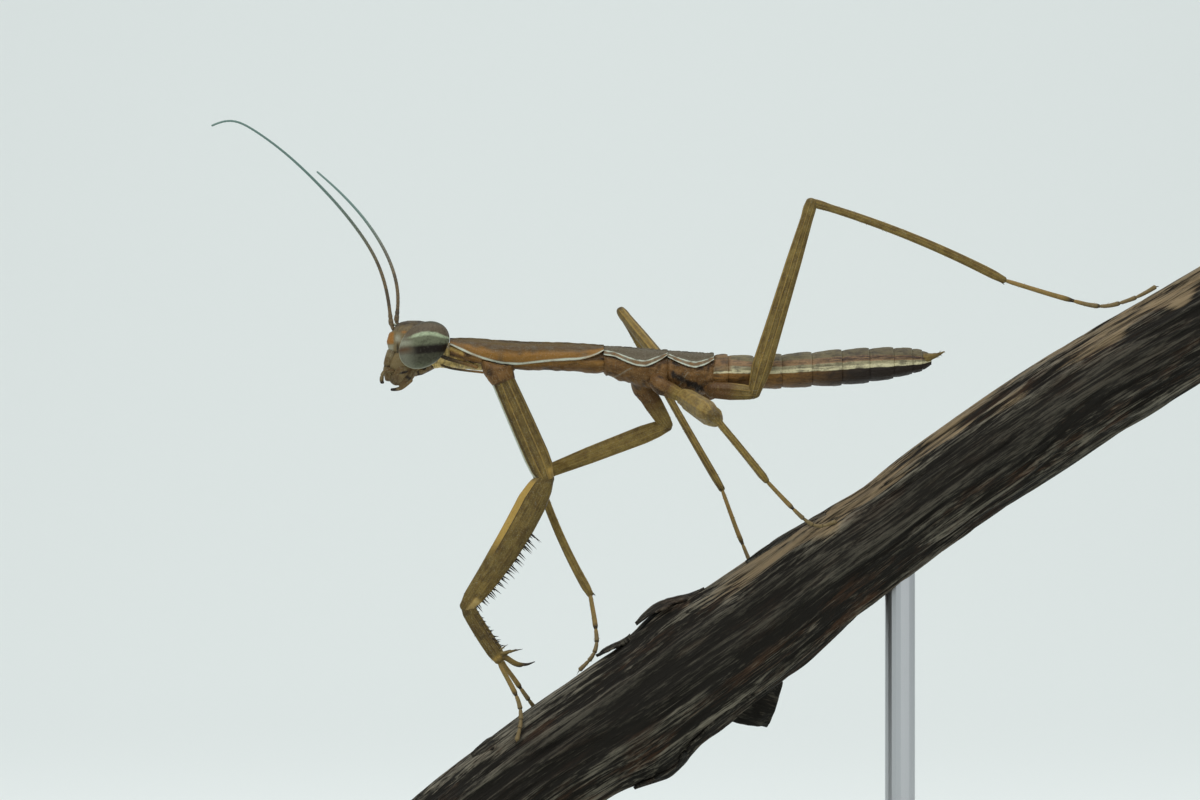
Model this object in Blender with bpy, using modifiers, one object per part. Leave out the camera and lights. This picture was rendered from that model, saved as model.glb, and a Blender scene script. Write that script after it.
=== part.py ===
"""Praying mantis nymph walking up a cut length of branch, on a plain display stand.

Run with: blender --background --python part.py

Frame: the origin is the middle of the stand's underside and +Z is up. The insect
faces -X, its back is +Z and its left side is -Y. Lengths are written in
millimetres and multiplied by MM where they go into a mesh.
"""
import math

import bmesh
import bpy
import numpy as np
from mathutils import Matrix, Vector

MM = 0.001
PLATE_GAP = 0.08        # clearance between two plates or two lengths of a limb
STAND_GAP = 0.2         # clearance round a rod in its socket

# Trunk: place along the body, back line, belly line, half width
TRUNK = (
    (-26.0, 50.25, 48.05, 0.95),
    (-24.8, 50.32, 48.10, 1.15),
    (-22.0, 50.12, 47.85, 1.65),
    (-20.8, 50.04, 47.72, 1.70),
    (-18.8, 49.96, 47.72, 1.40),
    (-15.6, 49.88, 47.56, 1.30),
    (-13.7, 49.68, 47.32, 1.45),
    (-12.0, 49.60, 46.76, 1.75),
    (-10.4, 49.48, 46.28, 1.90),
    (-8.6, 49.32, 45.96, 1.90),
    (-6.8, 49.20, 45.70, 1.85),
    (-4.9, 49.08, 45.75, 1.70),
    (-3.8, 49.04, 45.96, 1.55),
    (-1.8, 48.92, 46.28, 1.50),
    (0.5, 49.08, 46.28, 1.65),
    (2.9, 49.24, 46.44, 1.80),
    (5.3, 49.44, 46.52, 1.75),
    (7.5, 49.56, 46.76, 1.60),
    (9.4, 49.60, 47.08, 1.35),
    (11.0, 49.52, 47.48, 1.05),
    (11.8, 49.36, 47.72, 0.80),
    (12.5, 49.20, 48.00, 0.50),
)
# Lower margin of the back plates: it scallops down once on each plate
SEAM = (
    (-26.0, 49.75), (-24.8, 49.15), (-23.1, 48.55), (-21.2, 48.12), (-17.3, 48.50),
    (-13.7, 48.60), (-13.4, 48.90), (-10.6, 47.90), (-8.6, 48.40), (-6.2, 47.80), (-4.9, 48.10),
)
# Thorax plates: front, back, number of sections, whether it lies above the seam
THORAX = {
    "pronotum": (-26.0, -13.7, 10, True), "prosternum": (-25.5, -13.7, 10, False),
    "mesonotum": (-13.7, -8.6, 7, True), "mesothorax": (-13.7, -8.6, 7, False),
    "metanotum": (-8.6, -4.9, 6, True), "metathorax": (-8.6, -4.9, 6, False),
}
ABDOMEN_JOINTS = (-4.9, -3.8, -1.75, 0.5, 2.9, 5.3, 7.5, 9.45, 10.95, 11.75, 12.5)
# Each abdominal ring narrows where it slides under the one in front and flares behind
ABDOMEN_RING = ((0.0, 0.91), (0.12, 0.97), (0.55, 1.0), (0.93, 1.03), (1.0, 0.98))
PLATE_POINTS = 10               # points across a thorax plate
ABDOMEN_SIDES = 14
SEAM_LIMIT = 0.93               # a margin stays this share of the half height off the ends
# Tail feelers: root, tip, and their outline as share, half width, half depth
CERCUS_ROOT = (12.75, 0.38, 48.93)
CERCUS_TIP = (13.35, 0.62, 49.16)
CERCUS = ((0.0, 0.26, 0.26), (0.35, 0.32, 0.27), (0.75, 0.27, 0.26), (1.0, 0.25, 0.25))

# Head capsule: height, front, back, half width. It hangs like a wedge, mouth lowest
HEAD = (
    (51.75, -29.5, -28.3, 0.60),
    (51.50, -30.3, -27.5, 1.30),
    (50.90, -30.8, -27.1, 1.70),
    (49.90, -31.0, -27.05, 1.83),
    (48.90, -30.8, -27.2, 1.75),
    (48.10, -30.9, -27.9, 1.40),
    (47.50, -31.05, -28.4, 1.05),
)
MOUTH = (
    (47.42, -31.0, -28.6, 0.85),
    (46.85, -30.85, -29.2, 0.70),
    (46.25, -30.6, -29.7, 0.40),
)
EYE_CENTRE = (-28.06, 1.75, 49.78)
EYE_RADII = (2.25, 1.35, 1.66)  # along the eye, outward, across the eye
EYE_TILT = 41.0                 # degrees that its length rises towards the back
EYE_INNER = 1.95                # the head capsule ends and the eye begins here
HEAD_SIDES = 14
PALP = ((-30.35, 1.18, 47.15), (-31.0, 1.10, 47.15), (-31.4, 0.95, 46.75))
NECK = (-26.98, -25.55, 49.5, 47.95, 0.85)      # front, back, top, bottom, half width

FEELER_RADIUS = 0.26
FEELERS = {
    "left": (
        (-30.70, -0.50, 51.55), (-30.90, -0.64, 53.44), (-31.29, -0.80, 55.13),
        (-32.04, -1.04, 57.01), (-33.53, -1.44, 59.26), (-35.39, -1.92, 61.50),
        (-38.36, -2.72, 64.48), (-40.95, -3.40, 66.50), (-43.0, -3.92, 67.72),
        (-43.8, -4.08, 67.80), (-44.4, -4.16, 67.42), (-45.12, -4.24, 66.63)),
    "right": (
        (-30.30, 0.50, 51.85), (-30.12, 0.72, 53.27), (-30.32, 1.12, 54.97),
        (-31.01, 2.00, 56.89), (-32.01, 3.36, 58.63), (-33.41, 5.20, 60.49),
        (-35.03, 7.60, 62.19), (-36.28, 10.0, 63.33), (-37.19, 12.8, 64.11)),
}
FEELER_SPLIT = 0.42             # share of a feeler in its first length

# Branch: place along, centre height, radius
BRANCH = (
    (-27.2, 9.05, 4.37), (-23.0, 12.4, 4.50), (-19.4, 15.2, 4.58), (-14.0, 18.8, 4.60),
    (-9.2, 22.05, 4.95), (-4.4, 25.1, 4.93), (-1.0, 27.5, 4.76), (2.0, 30.0, 4.45),
    (5.0, 32.4, 4.20), (8.4, 34.8, 4.10), (14.8, 39.3, 3.92), (21.2, 43.6, 4.10),
    (27.6, 47.6, 4.00), (35.4, 52.2, 3.90),
)
BRANCH_SIDES = 22
BRANCH_RINGS = 27
RIDGES = 11
RIDGE_HEIGHT = 0.11
# Bark swellings: place along, angle round from the top, height, length, spread
SWELLINGS = ((-6.1, 0.0, 0.60, 2.0, 0.6), (-11.4, math.pi, 0.80, 2.0, 0.8))
STUB = ((-1.4, 0.6, 23.6), (-0.2, 2.6, 19.3), 1.75, 1.35)    # from, to, radii

BASE_SIZE = (68.0, 40.0, 4.0)
BASE_EDGE = 0.7
ROD_SIDES = 20
ROD_RADIUS = 1.2
SOCKET_DEPTH = 2.0
RODS = {"low": (-19.5, 12.2), "high": (10.0, 33.2)}     # place along, top height

LIMB_SIDES = 8
END_REACH = 0.75                # a limb's rounded end goes on by this share of its width
END_SHRINK = 0.5                # and narrows to this share of it
BOWED_STATIONS = 8
FOOT_RADIUS = 0.26
FLANK_REACH = 1.2               # how far round its root a leg clears the trunk
# Outward tilt of the flank that a leg's root lies against, in degrees
FLANK_TILTS = {"foreleg": 20.0, "midleg": 45.0, "hindleg": 45.0}
# Limb outlines: share of the length, half width in the plane of bending, half depth
OUTLINES = {
    "foreleg_coxa": ((0.0, 0.72, 0.52), (0.2, 0.86, 0.60), (0.5, 0.92, 0.62),
                     (0.8, 0.95, 0.58), (1.0, 0.88, 0.52)),
    "foreleg_femur": ((0.0, 0.72, 0.50), (0.12, 1.05, 0.55), (0.35, 1.10, 0.60),
                      (0.6, 1.05, 0.56), (0.85, 0.84, 0.48), (1.0, 0.58, 0.42)),
    "foreleg_tibia": ((0.0, 0.45, 0.36), (0.3, 0.51, 0.38), (0.7, 0.52, 0.38),
                      (1.0, 0.42, 0.34)),
    "midleg_coxa": ((0.0, 0.72, 0.60), (0.5, 0.70, 0.58), (1.0, 0.52, 0.46)),
    "midleg_femur": ((0.0, 0.50, 0.42), (0.15, 0.62, 0.46), (0.6, 0.58, 0.43),
                     (1.0, 0.48, 0.38)),
    "midleg_tibia": ((0.0, 0.33, 0.30), (0.5, 0.32, 0.29), (1.0, 0.28, 0.27)),
    "hindleg_coxa": ((0.0, 0.62, 0.55), (0.5, 0.66, 0.58), (1.0, 0.50, 0.46)),
    "hindleg_femur": ((0.0, 0.58, 0.46), (0.12, 0.76, 0.55), (0.35, 0.69, 0.52),
                      (0.7, 0.61, 0.48), (1.0, 0.46, 0.40)),
    "hindleg_tibia": ((0.0, 0.36, 0.32), (0.5, 0.33, 0.30), (1.0, 0.29, 0.28)),
}
# Bow of each limb, towards the outer side of its leg's bend
BOWS = {"foreleg_femur": -0.28, "foreleg_tibia": 0.1, "midleg_tibia": 0.3,
        "hindleg_tibia": 0.42}
# Joints of each leg. A tarsus point of three numbers is free, and one of two
# numbers lies on the branch: place along it, and degrees round it from the top.
LEGS = {
    "foreleg_left": {
        "root": (-22.45, -1.00, 48.0), "hip": (-18.45, -1.75, 39.15),
        "knee": (-24.7, -2.55, 28.95), "ankle": (-22.2, -2.25, 24.65),
        "tarsus": ((-20.45, -2.15, 21.45), (-18.0, -36.0), (-18.7, -46.0))},
    "foreleg_right": {
        "root": (-22.4, 1.00, 48.0), "hip": (-18.4, 1.75, 39.2),
        "knee": (-24.7, 2.55, 29.0), "ankle": (-22.1, 2.20, 24.75),
        "tarsus": ((-19.45, 2.30, 20.9), (-16.7, 36.0), (-17.1, 48.0))},
    "midleg_left": {
        "root": (-8.9, -1.20, 46.7), "hip": (-7.4, -2.10, 45.7),
        "knee": (-5.1, -12.4, 44.1), "ankle": (-0.85, -4.50, 39.05),
        "tarsus": ((2.2, -3.30, 35.9), (5.5, -46.0), (6.6, -46.0))},
    "midleg_right": {
        "root": (-10.2, 1.00, 46.6), "hip": (-8.62, 2.00, 43.35),
        "knee": (-19.05, 4.00, 39.3), "ankle": (-14.8, 3.60, 29.75),
        "tarsus": ((-14.2, 0.90, 25.9), (-12.0, 2.0), (-12.9, 0.0))},
    "hindleg_left": {
        "root": (-4.9, -1.20, 46.5), "hip": (-1.75, -2.25, 45.95),
        "knee": (2.85, -3.00, 61.1), "ankle": (18.2, -1.30, 54.98),
        "tarsus": ((25.1, -1.0, 52.95), (27.2, -0.9, 53.05), (29.1, -0.8, 53.7),
                   (30.3, -0.8, 54.4))},
    "hindleg_right": {
        "root": (-5.1, 1.20, 46.5), "hip": (-6.7, 2.25, 45.7),
        "knee": (-12.25, 14.4, 52.65), "ankle": (-4.05, 10.6, 38.15),
        "tarsus": ((-1.7, 7.4, 31.95), (1.4, 60.0), (2.6, 63.0))},
}
# Spines on the inner edge of the grasping limbs: first and last share of the
# length, how many, their length near the first and near the last, base radius
SPINES = {"foreleg_femur": (0.38, 0.93, 10, 1.15, 0.65, 0.14),
          "foreleg_tibia": (0.25, 0.80, 6, 0.30, 0.60, 0.11)}
SPINE_SINK = 0.86               # where a spine is rooted, as a share of the half width
SPINE_SPLAY = 0.35              # alternate spines lean to either side
SPINE_LEAN = 0.25               # and all lean towards the end of the limb
# Tibia's end claw: distance past the ankle, distance inward, radius
CLAW = ((-0.65, 0.30, 0.24), (0.25, 0.66, 0.25), (1.15, 1.05, 0.19), (1.70, 1.65, 0.13),
        (1.90, 2.30, 0.06))
CLAW_TURNS = {"left": 0.0, "right": 50.0}       # degrees round the tibia

COLOURS = {
    "shell_brown": (0.115, 0.085, 0.045), "shell_back": (0.095, 0.075, 0.050),
    "shell_tan": (0.220, 0.170, 0.080), "leg_olive": (0.150, 0.120, 0.055),
    "foot_brown": (0.095, 0.065, 0.035), "eye": (0.120, 0.125, 0.095),
    "feeler": (0.180, 0.170, 0.130), "membrane": (0.300, 0.240, 0.090),
    "bark": (0.070, 0.062, 0.048), "steel": (0.560, 0.570, 0.580),
    "stand_paint": (0.720, 0.730, 0.710),
}


# ---------------------------------------------------------------- scene helpers

def clear_scene():
    """Remove what the file holds."""
    for old in list(bpy.data.objects):
        bpy.data.objects.remove(old, do_unlink=True)


def new_collection(name):
    collection = bpy.data.collections.new(name)
    bpy.context.scene.collection.children.link(collection)
    return collection


def material_for(piece, colour, roughness=0.5, metallic=0.0):
    """Give a piece its own Principled material."""
    finish = bpy.data.materials.new(piece.name + "_finish")
    finish.use_nodes = True
    shader = finish.node_tree.nodes["Principled BSDF"]
    shader.inputs["Base Color"].default_value = (*COLOURS[colour], 1.0)
    shader.inputs["Roughness"].default_value = roughness
    shader.inputs["Metallic"].default_value = metallic
    piece.data.materials.clear()
    piece.data.materials.append(finish)


def place(name, mesh, collection, colour, sharp_angle=40.0, **finish):
    """Make the named object of one node from a mesh."""
    mesh.shade_smooth()
    mesh.set_sharp_from_angle(angle=math.radians(sharp_angle))
    piece = bpy.data.objects.new(name, mesh)
    collection.objects.link(piece)
    material_for(piece, colour, **finish)
    return piece


def combine(piece, other, operation):
    """Join or cut a piece by another one, which stays as a hidden guide."""
    other.hide_render = True
    other.display_type = "WIRE"
    boolean = piece.modifiers.new(operation.title(), "BOOLEAN")
    boolean.operation = operation
    boolean.solver = "EXACT"
    boolean.object = other


# ---------------------------------------------------------------- shape helpers

def loft(name, rings):
    """A closed mesh through rings of equally many points, with flat ends."""
    count = len(rings[0])
    vertices = [tuple(Vector(point) * MM) for ring in rings for point in ring]
    faces = [list(range(count))[::-1]]
    for first in range(0, (len(rings) - 1) * count, count):
        for step in range(count):
            following = (step + 1) % count
            faces.append((first + step, first + following,
                          first + count + following, first + count + step))
    faces.append(list(range((len(rings) - 1) * count, len(rings) * count)))
    mesh = bpy.data.meshes.new(name)
    mesh.from_pydata(vertices, [], faces)
    shape = bmesh.new()
    shape.from_mesh(mesh)
    bmesh.ops.recalc_face_normals(shape, faces=shape.faces)
    shape.to_mesh(mesh)
    shape.free()
    return mesh


def ellipse(centre, axis_a, axis_b, half_a, half_b, count, first=0.0, last=None):
    """Points of an ellipse, or of the arc of it between two angles."""
    if last is None:
        angles = [first + 2.0 * math.pi * step / count for step in range(count)]
    else:
        angles = [first + (last - first) * step / (count - 1) for step in range(count)]
    return [Vector(centre) + axis_a * (half_a * math.cos(angle))
            + axis_b * (half_b * math.sin(angle)) for angle in angles]


def mirrored(point, side):
    """A point of the far side, or its image on the near side where side is -1."""
    return Vector((point[0], side * point[1], point[2]))


def smooth_path(points, per_span):
    """A Catmull-Rom curve through the points, with per_span steps in each span."""
    knots = [Vector(point) for point in points]
    knots = [2 * knots[0] - knots[1]] + knots + [2 * knots[-1] - knots[-2]]
    path = []
    for before, start, end, after in zip(knots, knots[1:], knots[2:], knots[3:]):
        for step in range(per_span):
            t = step / per_span
            path.append(0.5 * (2 * start + (end - before) * t
                               + (2 * before - 5 * start + 4 * end - after) * t * t
                               + (3 * start - before - 3 * end + after) * t ** 3))
    path.append(knots[-2])
    return path


def tube_mesh(name, path, radii):
    """A round tube of changing radius along a path, as one closed mesh."""
    curve = bpy.data.curves.new(name, "CURVE")
    curve.dimensions = "3D"
    curve.bevel_depth = MM
    curve.bevel_resolution = 2
    curve.use_fill_caps = True
    spline = curve.splines.new("POLY")
    spline.points.add(len(path) - 1)
    for knot, point, radius in zip(spline.points, path, radii):
        knot.co = (*(Vector(point) * MM), 1.0)
        knot.radius = radius
    holder = bpy.data.objects.new(name + "_path", curve)
    bpy.context.scene.collection.objects.link(holder)
    depsgraph = bpy.context.evaluated_depsgraph_get()
    mesh = bpy.data.meshes.new_from_object(holder.evaluated_get(depsgraph))
    mesh.name = name
    bpy.data.objects.remove(holder, do_unlink=True)
    shape = bmesh.new()
    shape.from_mesh(mesh)
    bmesh.ops.remove_doubles(shape, verts=shape.verts, dist=1e-6)
    bmesh.ops.recalc_face_normals(shape, faces=shape.faces)
    shape.to_mesh(mesh)
    shape.free()
    return mesh


def limb_mesh(name, start, end, outline, side_axis, bow=0.0):
    """A limb between two joints, rounded past both of its ends."""
    start, end = Vector(start), Vector(end)
    along = (end - start).normalized()
    length = (end - start).length
    depth_axis = (side_axis - along * side_axis.dot(along)).normalized()
    width_axis = along.cross(depth_axis)
    rings = []

    def add_ring(distance, half_width, half_depth):
        share = min(max(distance / length, 0.0), 1.0)
        lift = bow * 4.0 * share * (1.0 - share)
        centre = start + along * distance + width_axis * lift
        rings.append(ellipse(centre, width_axis, depth_axis, half_width, half_depth, LIMB_SIDES))

    if bow:
        table = np.array(outline)
        shares = np.linspace(0.0, 1.0, BOWED_STATIONS)
        outline = [(float(share), *(float(np.interp(share, table[:, 0], table[:, column]))
                                    for column in (1, 2))) for share in shares]
    _, first_width, first_depth = outline[0]
    _, last_width, last_depth = outline[-1]
    add_ring(-END_REACH * first_width, END_SHRINK * first_width, END_SHRINK * first_depth)
    for share, half_width, half_depth in outline:
        add_ring(share * length, half_width, half_depth)
    add_ring(length + END_REACH * last_width, END_SHRINK * last_width, END_SHRINK * last_depth)
    return loft(name, rings)


def trim(mesh, point, normal):
    """Cut away what lies beyond a plane and close the cut."""
    shape = bmesh.new()
    shape.from_mesh(mesh)
    geometry = shape.verts[:] + shape.edges[:] + shape.faces[:]
    bmesh.ops.bisect_plane(shape, geom=geometry, dist=1e-7, plane_co=Vector(point) * MM,
                           plane_no=Vector(normal), clear_outer=True)
    rim = [edge for edge in shape.edges if edge.is_boundary]
    bmesh.ops.holes_fill(shape, edges=rim, sides=0)
    bmesh.ops.recalc_face_normals(shape, faces=shape.faces)
    shape.to_mesh(mesh)
    shape.free()


def trim_at_joint(mesh, joint, before, after, outgoing):
    """Cut a limb at the mitre plane of its joint, half a gap on its own side."""
    joint, before, after = Vector(joint), Vector(before), Vector(after)
    normal = ((joint - before).normalized() + (after - joint).normalized()).normalized()
    if outgoing:
        normal = -normal
    trim(mesh, joint - normal * (PLATE_GAP / 2.0), normal)


# ---------------------------------------------------------------- trunk and head

def trunk_at(x):
    """Back height, belly height and half width of the trunk at a place."""
    table = np.array(TRUNK)
    return tuple(float(np.interp(x, table[:, 0], table[:, column])) for column in (1, 2, 3))


def seam_at(x):
    table = np.array(SEAM)
    return float(np.interp(x, table[:, 0], table[:, 1]))


def trunk_half_ring(x, upper):
    """The part of the trunk's section above, or below, the margin of its plate."""
    back, belly, half_width = trunk_at(x)
    middle, half_height = (back + belly) / 2.0, (back - belly) / 2.0
    edge = seam_at(x) + (PLATE_GAP / 2.0 if upper else -PLATE_GAP / 2.0)
    ratio = min(max((edge - middle) / half_height, -SEAM_LIMIT), SEAM_LIMIT)
    rise = math.asin(ratio)
    first, last = (rise, math.pi - rise) if upper else (math.pi - rise, 2.0 * math.pi + rise)
    return ellipse((x, 0.0, middle), Vector((0, 1, 0)), Vector((0, 0, 1)),
                   half_width, half_height, PLATE_POINTS, first, last)


def build_thorax(body):
    for name, (front, back, count, upper) in THORAX.items():
        places = np.linspace(front + PLATE_GAP / 2.0, back - PLATE_GAP / 2.0, count)
        rings = [trunk_half_ring(float(x), upper) for x in places]
        colour = "shell_back" if upper else "shell_brown"
        place(name, loft(name, rings), body, colour, roughness=0.45)


def build_abdomen(body):
    for number, (front, back) in enumerate(zip(ABDOMEN_JOINTS, ABDOMEN_JOINTS[1:]), start=1):
        front += PLATE_GAP / 2.0
        back -= PLATE_GAP / 2.0
        rings = []
        for share, flare in ABDOMEN_RING:
            x = front + (back - front) * share
            top, bottom, half_width = trunk_at(x)
            rings.append(ellipse((x, 0.0, (top + bottom) / 2.0), Vector((0, 1, 0)),
                                 Vector((0, 0, 1)), half_width * flare,
                                 (top - bottom) / 2.0 * flare, ABDOMEN_SIDES))
        name = f"abdomen_{number}"
        place(name, loft(name, rings), body, "shell_brown", roughness=0.45)


def build_cerci(body):
    """Two short leaf-shaped tail feelers at the end of the abdomen."""
    for side, name in ((-1.0, "cercus_left"), (1.0, "cercus_right")):
        root, tip = (mirrored(point, side) for point in (CERCUS_ROOT, CERCUS_TIP))
        place(name, limb_mesh(name, root, tip, CERCUS, Vector((0, 1, 0))), body, "leg_olive")


def level_rings(table):
    """Rounded sections of a form that hangs, at the heights that a table gives."""
    return [ellipse(((front + back) / 2.0, 0.0, height), Vector((1, 0, 0)), Vector((0, 1, 0)),
                    (back - front) / 2.0, half_width, HEAD_SIDES)
            for height, front, back, half_width in table]


def build_head(body):
    place("head_capsule", loft("head_capsule", level_rings(HEAD)), body, "shell_brown",
          roughness=0.45)
    place("mouthparts", loft("mouthparts", level_rings(MOUTH)), body, "shell_tan")
    front, back, top, bottom, half_width = NECK
    rings = [ellipse((x, 0.0, (top + bottom) / 2.0), Vector((0, 1, 0)), Vector((0, 0, 1)),
                     half_width, (top - bottom) / 2.0, HEAD_SIDES) for x in (front, back)]
    place("neck", loft("neck", rings), body, "membrane")
    for side, word in ((-1.0, "left"), (1.0, "right")):
        build_eye(body, side, "eye_" + word)
        path = smooth_path([mirrored(point, side) for point in PALP], 2)
        mesh = tube_mesh("palp_" + word, path, [FEELER_RADIUS] * len(path))
        place("palp_" + word, mesh, body, "shell_tan")


def build_eye(body, side, name):
    """A bulging compound eye: an ellipsoid cut flat where it meets the head."""
    centre = mirrored(EYE_CENTRE, side)
    turn = Matrix.Rotation(-math.radians(EYE_TILT), 3, "Y")
    shape = bmesh.new()
    bmesh.ops.create_uvsphere(shape, u_segments=16, v_segments=10, radius=1.0)
    for vertex in shape.verts:
        grown = Vector(a * b for a, b in zip(vertex.co, EYE_RADII))
        vertex.co = (centre + turn @ grown) * MM
    mesh = bpy.data.meshes.new(name)
    shape.to_mesh(mesh)
    shape.free()
    trim(mesh, (0.0, side * EYE_INNER, 0.0), (0.0, -side, 0.0))
    place(name, mesh, body, "eye", roughness=0.25)


def build_feelers(body):
    """Each feeler in two lengths, cut square where they meet."""
    for word, points in FEELERS.items():
        path = smooth_path(points, 2)
        split = int(len(path) * FEELER_SPLIT)
        along = (path[split + 1] - path[split - 1]).normalized()
        lengths = (path[:split] + [path[split] - along * PLATE_GAP / 2.0],
                   [path[split] + along * PLATE_GAP / 2.0] + path[split + 1:])
        for number, length in enumerate(lengths, start=1):
            name = f"antenna_{word}_{number}"
            radii = [FEELER_RADIUS] * len(length)
            place(name, tube_mesh(name, length, radii), body, "feeler")


# ---------------------------------------------------------------- branch and stand

def branch_at(x):
    """Centre, upward normal and mean radius of the branch at a place along it."""
    table = np.array(BRANCH)
    height, radius = (float(np.interp(x, table[:, 0], table[:, column])) for column in (1, 2))
    span = 3.0
    rise = float(np.interp(x + span, table[:, 0], table[:, 1])
                 - np.interp(x - span, table[:, 0], table[:, 1]))
    run = min(x + span, table[-1, 0]) - max(x - span, table[0, 0])
    normal = Vector((-rise, 0.0, run)).normalized()
    return Vector((x, 0.0, height)), normal, radius


def branch_point(x, turn, lift=0.0):
    """A point on the bark: turn is the angle round from the top, + on the far side."""
    centre, normal, radius = branch_at(x)
    radius += RIDGE_HEIGHT * math.cos(RIDGES * turn)
    for place_along, angle, height, length, spread in SWELLINGS:
        apart = math.remainder(turn - angle, 2.0 * math.pi)
        radius += height * math.exp(-((x - place_along) / length) ** 2 - (apart / spread) ** 2)
    outward = normal * math.cos(turn) + Vector((0, 1, 0)) * math.sin(turn)
    return centre + outward * (radius + lift)


def build_branch(perch, guides):
    places = np.linspace(BRANCH[0][0], BRANCH[-1][0], BRANCH_RINGS)
    turns = [2.0 * math.pi * step / BRANCH_SIDES for step in range(BRANCH_SIDES)]
    rings = [[branch_point(float(x), turn) for turn in turns] for x in places]
    branch = place("branch", loft("branch", rings), perch, "bark", roughness=0.85)
    start, end, wide, narrow = STUB
    stub = place("side_twig_stub", tube_mesh("side_twig_stub", [start, end], [wide, narrow]),
                 guides, "bark")
    combine(branch, stub, "UNION")
    for word, (x, top) in RODS.items():
        name = f"branch_socket_{word}"
        hole = rod_mesh(name, x, BASE_SIZE[2], top + STAND_GAP, ROD_RADIUS + STAND_GAP)
        combine(branch, place(name, hole, guides, "steel"), "DIFFERENCE")


def rod_mesh(name, x, bottom, top, radius):
    """An upright round rod."""
    shape = bmesh.new()
    bmesh.ops.create_cone(shape, cap_ends=True, segments=ROD_SIDES, radius1=radius * MM,
                          radius2=radius * MM, depth=(top - bottom) * MM)
    middle = Vector((x, 0.0, (top + bottom) / 2.0)) * MM
    bmesh.ops.translate(shape, verts=shape.verts, vec=middle)
    mesh = bpy.data.meshes.new(name)
    shape.to_mesh(mesh)
    shape.free()
    return mesh


def build_stand(stand, guides):
    """A flat base and two rods, whose ends go into sockets above and below."""
    shape = bmesh.new()
    bmesh.ops.create_cube(shape, size=1.0)
    for vertex in shape.verts:
        vertex.co = Vector(a * b for a, b in zip(vertex.co, BASE_SIZE)) * MM
        vertex.co.z += BASE_SIZE[2] * MM / 2.0
    mesh = bpy.data.meshes.new("stand_base")
    shape.to_mesh(mesh)
    shape.free()
    base = place("stand_base", mesh, stand, "stand_paint", roughness=0.6)
    edges = base.modifiers.new("Soft edges", "BEVEL")
    edges.width = BASE_EDGE * MM
    edges.segments = 2
    for word, (x, top) in RODS.items():
        foot = BASE_SIZE[2] - SOCKET_DEPTH
        hole = rod_mesh(f"base_socket_{word}", x, foot - STAND_GAP, top, ROD_RADIUS + STAND_GAP)
        combine(base, place(f"base_socket_{word}", hole, guides, "steel"), "DIFFERENCE")
        name = f"stand_rod_{word}"
        place(name, rod_mesh(name, x, foot, top, ROD_RADIUS), stand, "steel",
              roughness=0.3, metallic=1.0)


# ---------------------------------------------------------------- legs

def leg_points(leg):
    """Joints from the root to the tip of the foot, with branch contacts worked out."""
    joints = [Vector(leg[name]) for name in ("root", "hip", "knee", "ankle")]
    foot = []
    for point in leg["tarsus"]:
        if len(point) == 3:
            foot.append(Vector(point))
        else:
            lift = FOOT_RADIUS + PLATE_GAP
            foot.append(branch_point(point[0], math.radians(point[1]), lift))
    return joints, foot


def flank_plane(x, side, outward_tilt):
    """A plane that touches the trunk's flank, a gap away, and its outward normal."""
    tilt = math.radians(outward_tilt)
    normal = Vector((0.0, side * math.sin(tilt), -math.cos(tilt)))
    reaches = []
    for place_along in (x - FLANK_REACH, x, x + FLANK_REACH):
        back, belly, half_width = trunk_at(place_along)
        support = math.hypot(half_width * normal.y, (back - belly) / 2.0 * normal.z)
        reaches.append(support + (back + belly) / 2.0 * normal.z)
    return Vector((x, 0.0, 0.0)) + normal * (max(reaches) + PLATE_GAP), normal


def spine_row(name, start, end, side_axis, outline_name):
    """Cones along the inner edge of a grasping limb, as one mesh."""
    first, last, count, first_length, last_length, radius = SPINES[outline_name]
    along = (end - start).normalized()
    inward = side_axis.cross(along).normalized()
    table = np.array(OUTLINES[outline_name])
    shape = bmesh.new()
    for step in range(count):
        portion = step / (count - 1)
        share = first + (last - first) * portion
        length = first_length + (last_length - first_length) * portion
        half_width = float(np.interp(share, table[:, 0], table[:, 1]))
        sag = BOWS.get(outline_name, 0.0) * 4.0 * share * (1.0 - share)
        root = start + (end - start) * share + inward * (half_width * SPINE_SINK - sag)
        splay = side_axis * (SPINE_SPLAY if step % 2 else -SPINE_SPLAY)
        lean = (inward + along * SPINE_LEAN + splay).normalized()
        turn = Vector((0, 0, 1)).rotation_difference(lean).to_matrix().to_4x4()
        made = bmesh.ops.create_cone(shape, cap_ends=True, segments=5, radius1=radius * MM,
                                     radius2=radius * 0.2 * MM, depth=length * MM)
        bmesh.ops.translate(shape, verts=made["verts"], vec=(0, 0, length * MM * 0.35))
        bmesh.ops.rotate(shape, verts=made["verts"], matrix=turn)
        bmesh.ops.translate(shape, verts=made["verts"], vec=root * MM)
    mesh = bpy.data.meshes.new(name + "_spines")
    shape.to_mesh(mesh)
    shape.free()
    return mesh


def claw_mesh(name, start, end, side_axis, degrees):
    """The hooked claw that ends a grasping tibia, turned round it from its inner side."""
    along = (end - start).normalized()
    turn = Matrix.Rotation(math.radians(degrees), 3, along)
    inward = turn @ side_axis.cross(along).normalized()
    path = smooth_path([end + along * past + inward * aside for past, aside, _ in CLAW], 2)
    shares = np.linspace(0.0, len(CLAW) - 1.0, len(path))
    radii = np.interp(shares, range(len(CLAW)), [radius for _, _, radius in CLAW])
    return tube_mesh(name, path, [float(radius) for radius in radii])


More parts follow.
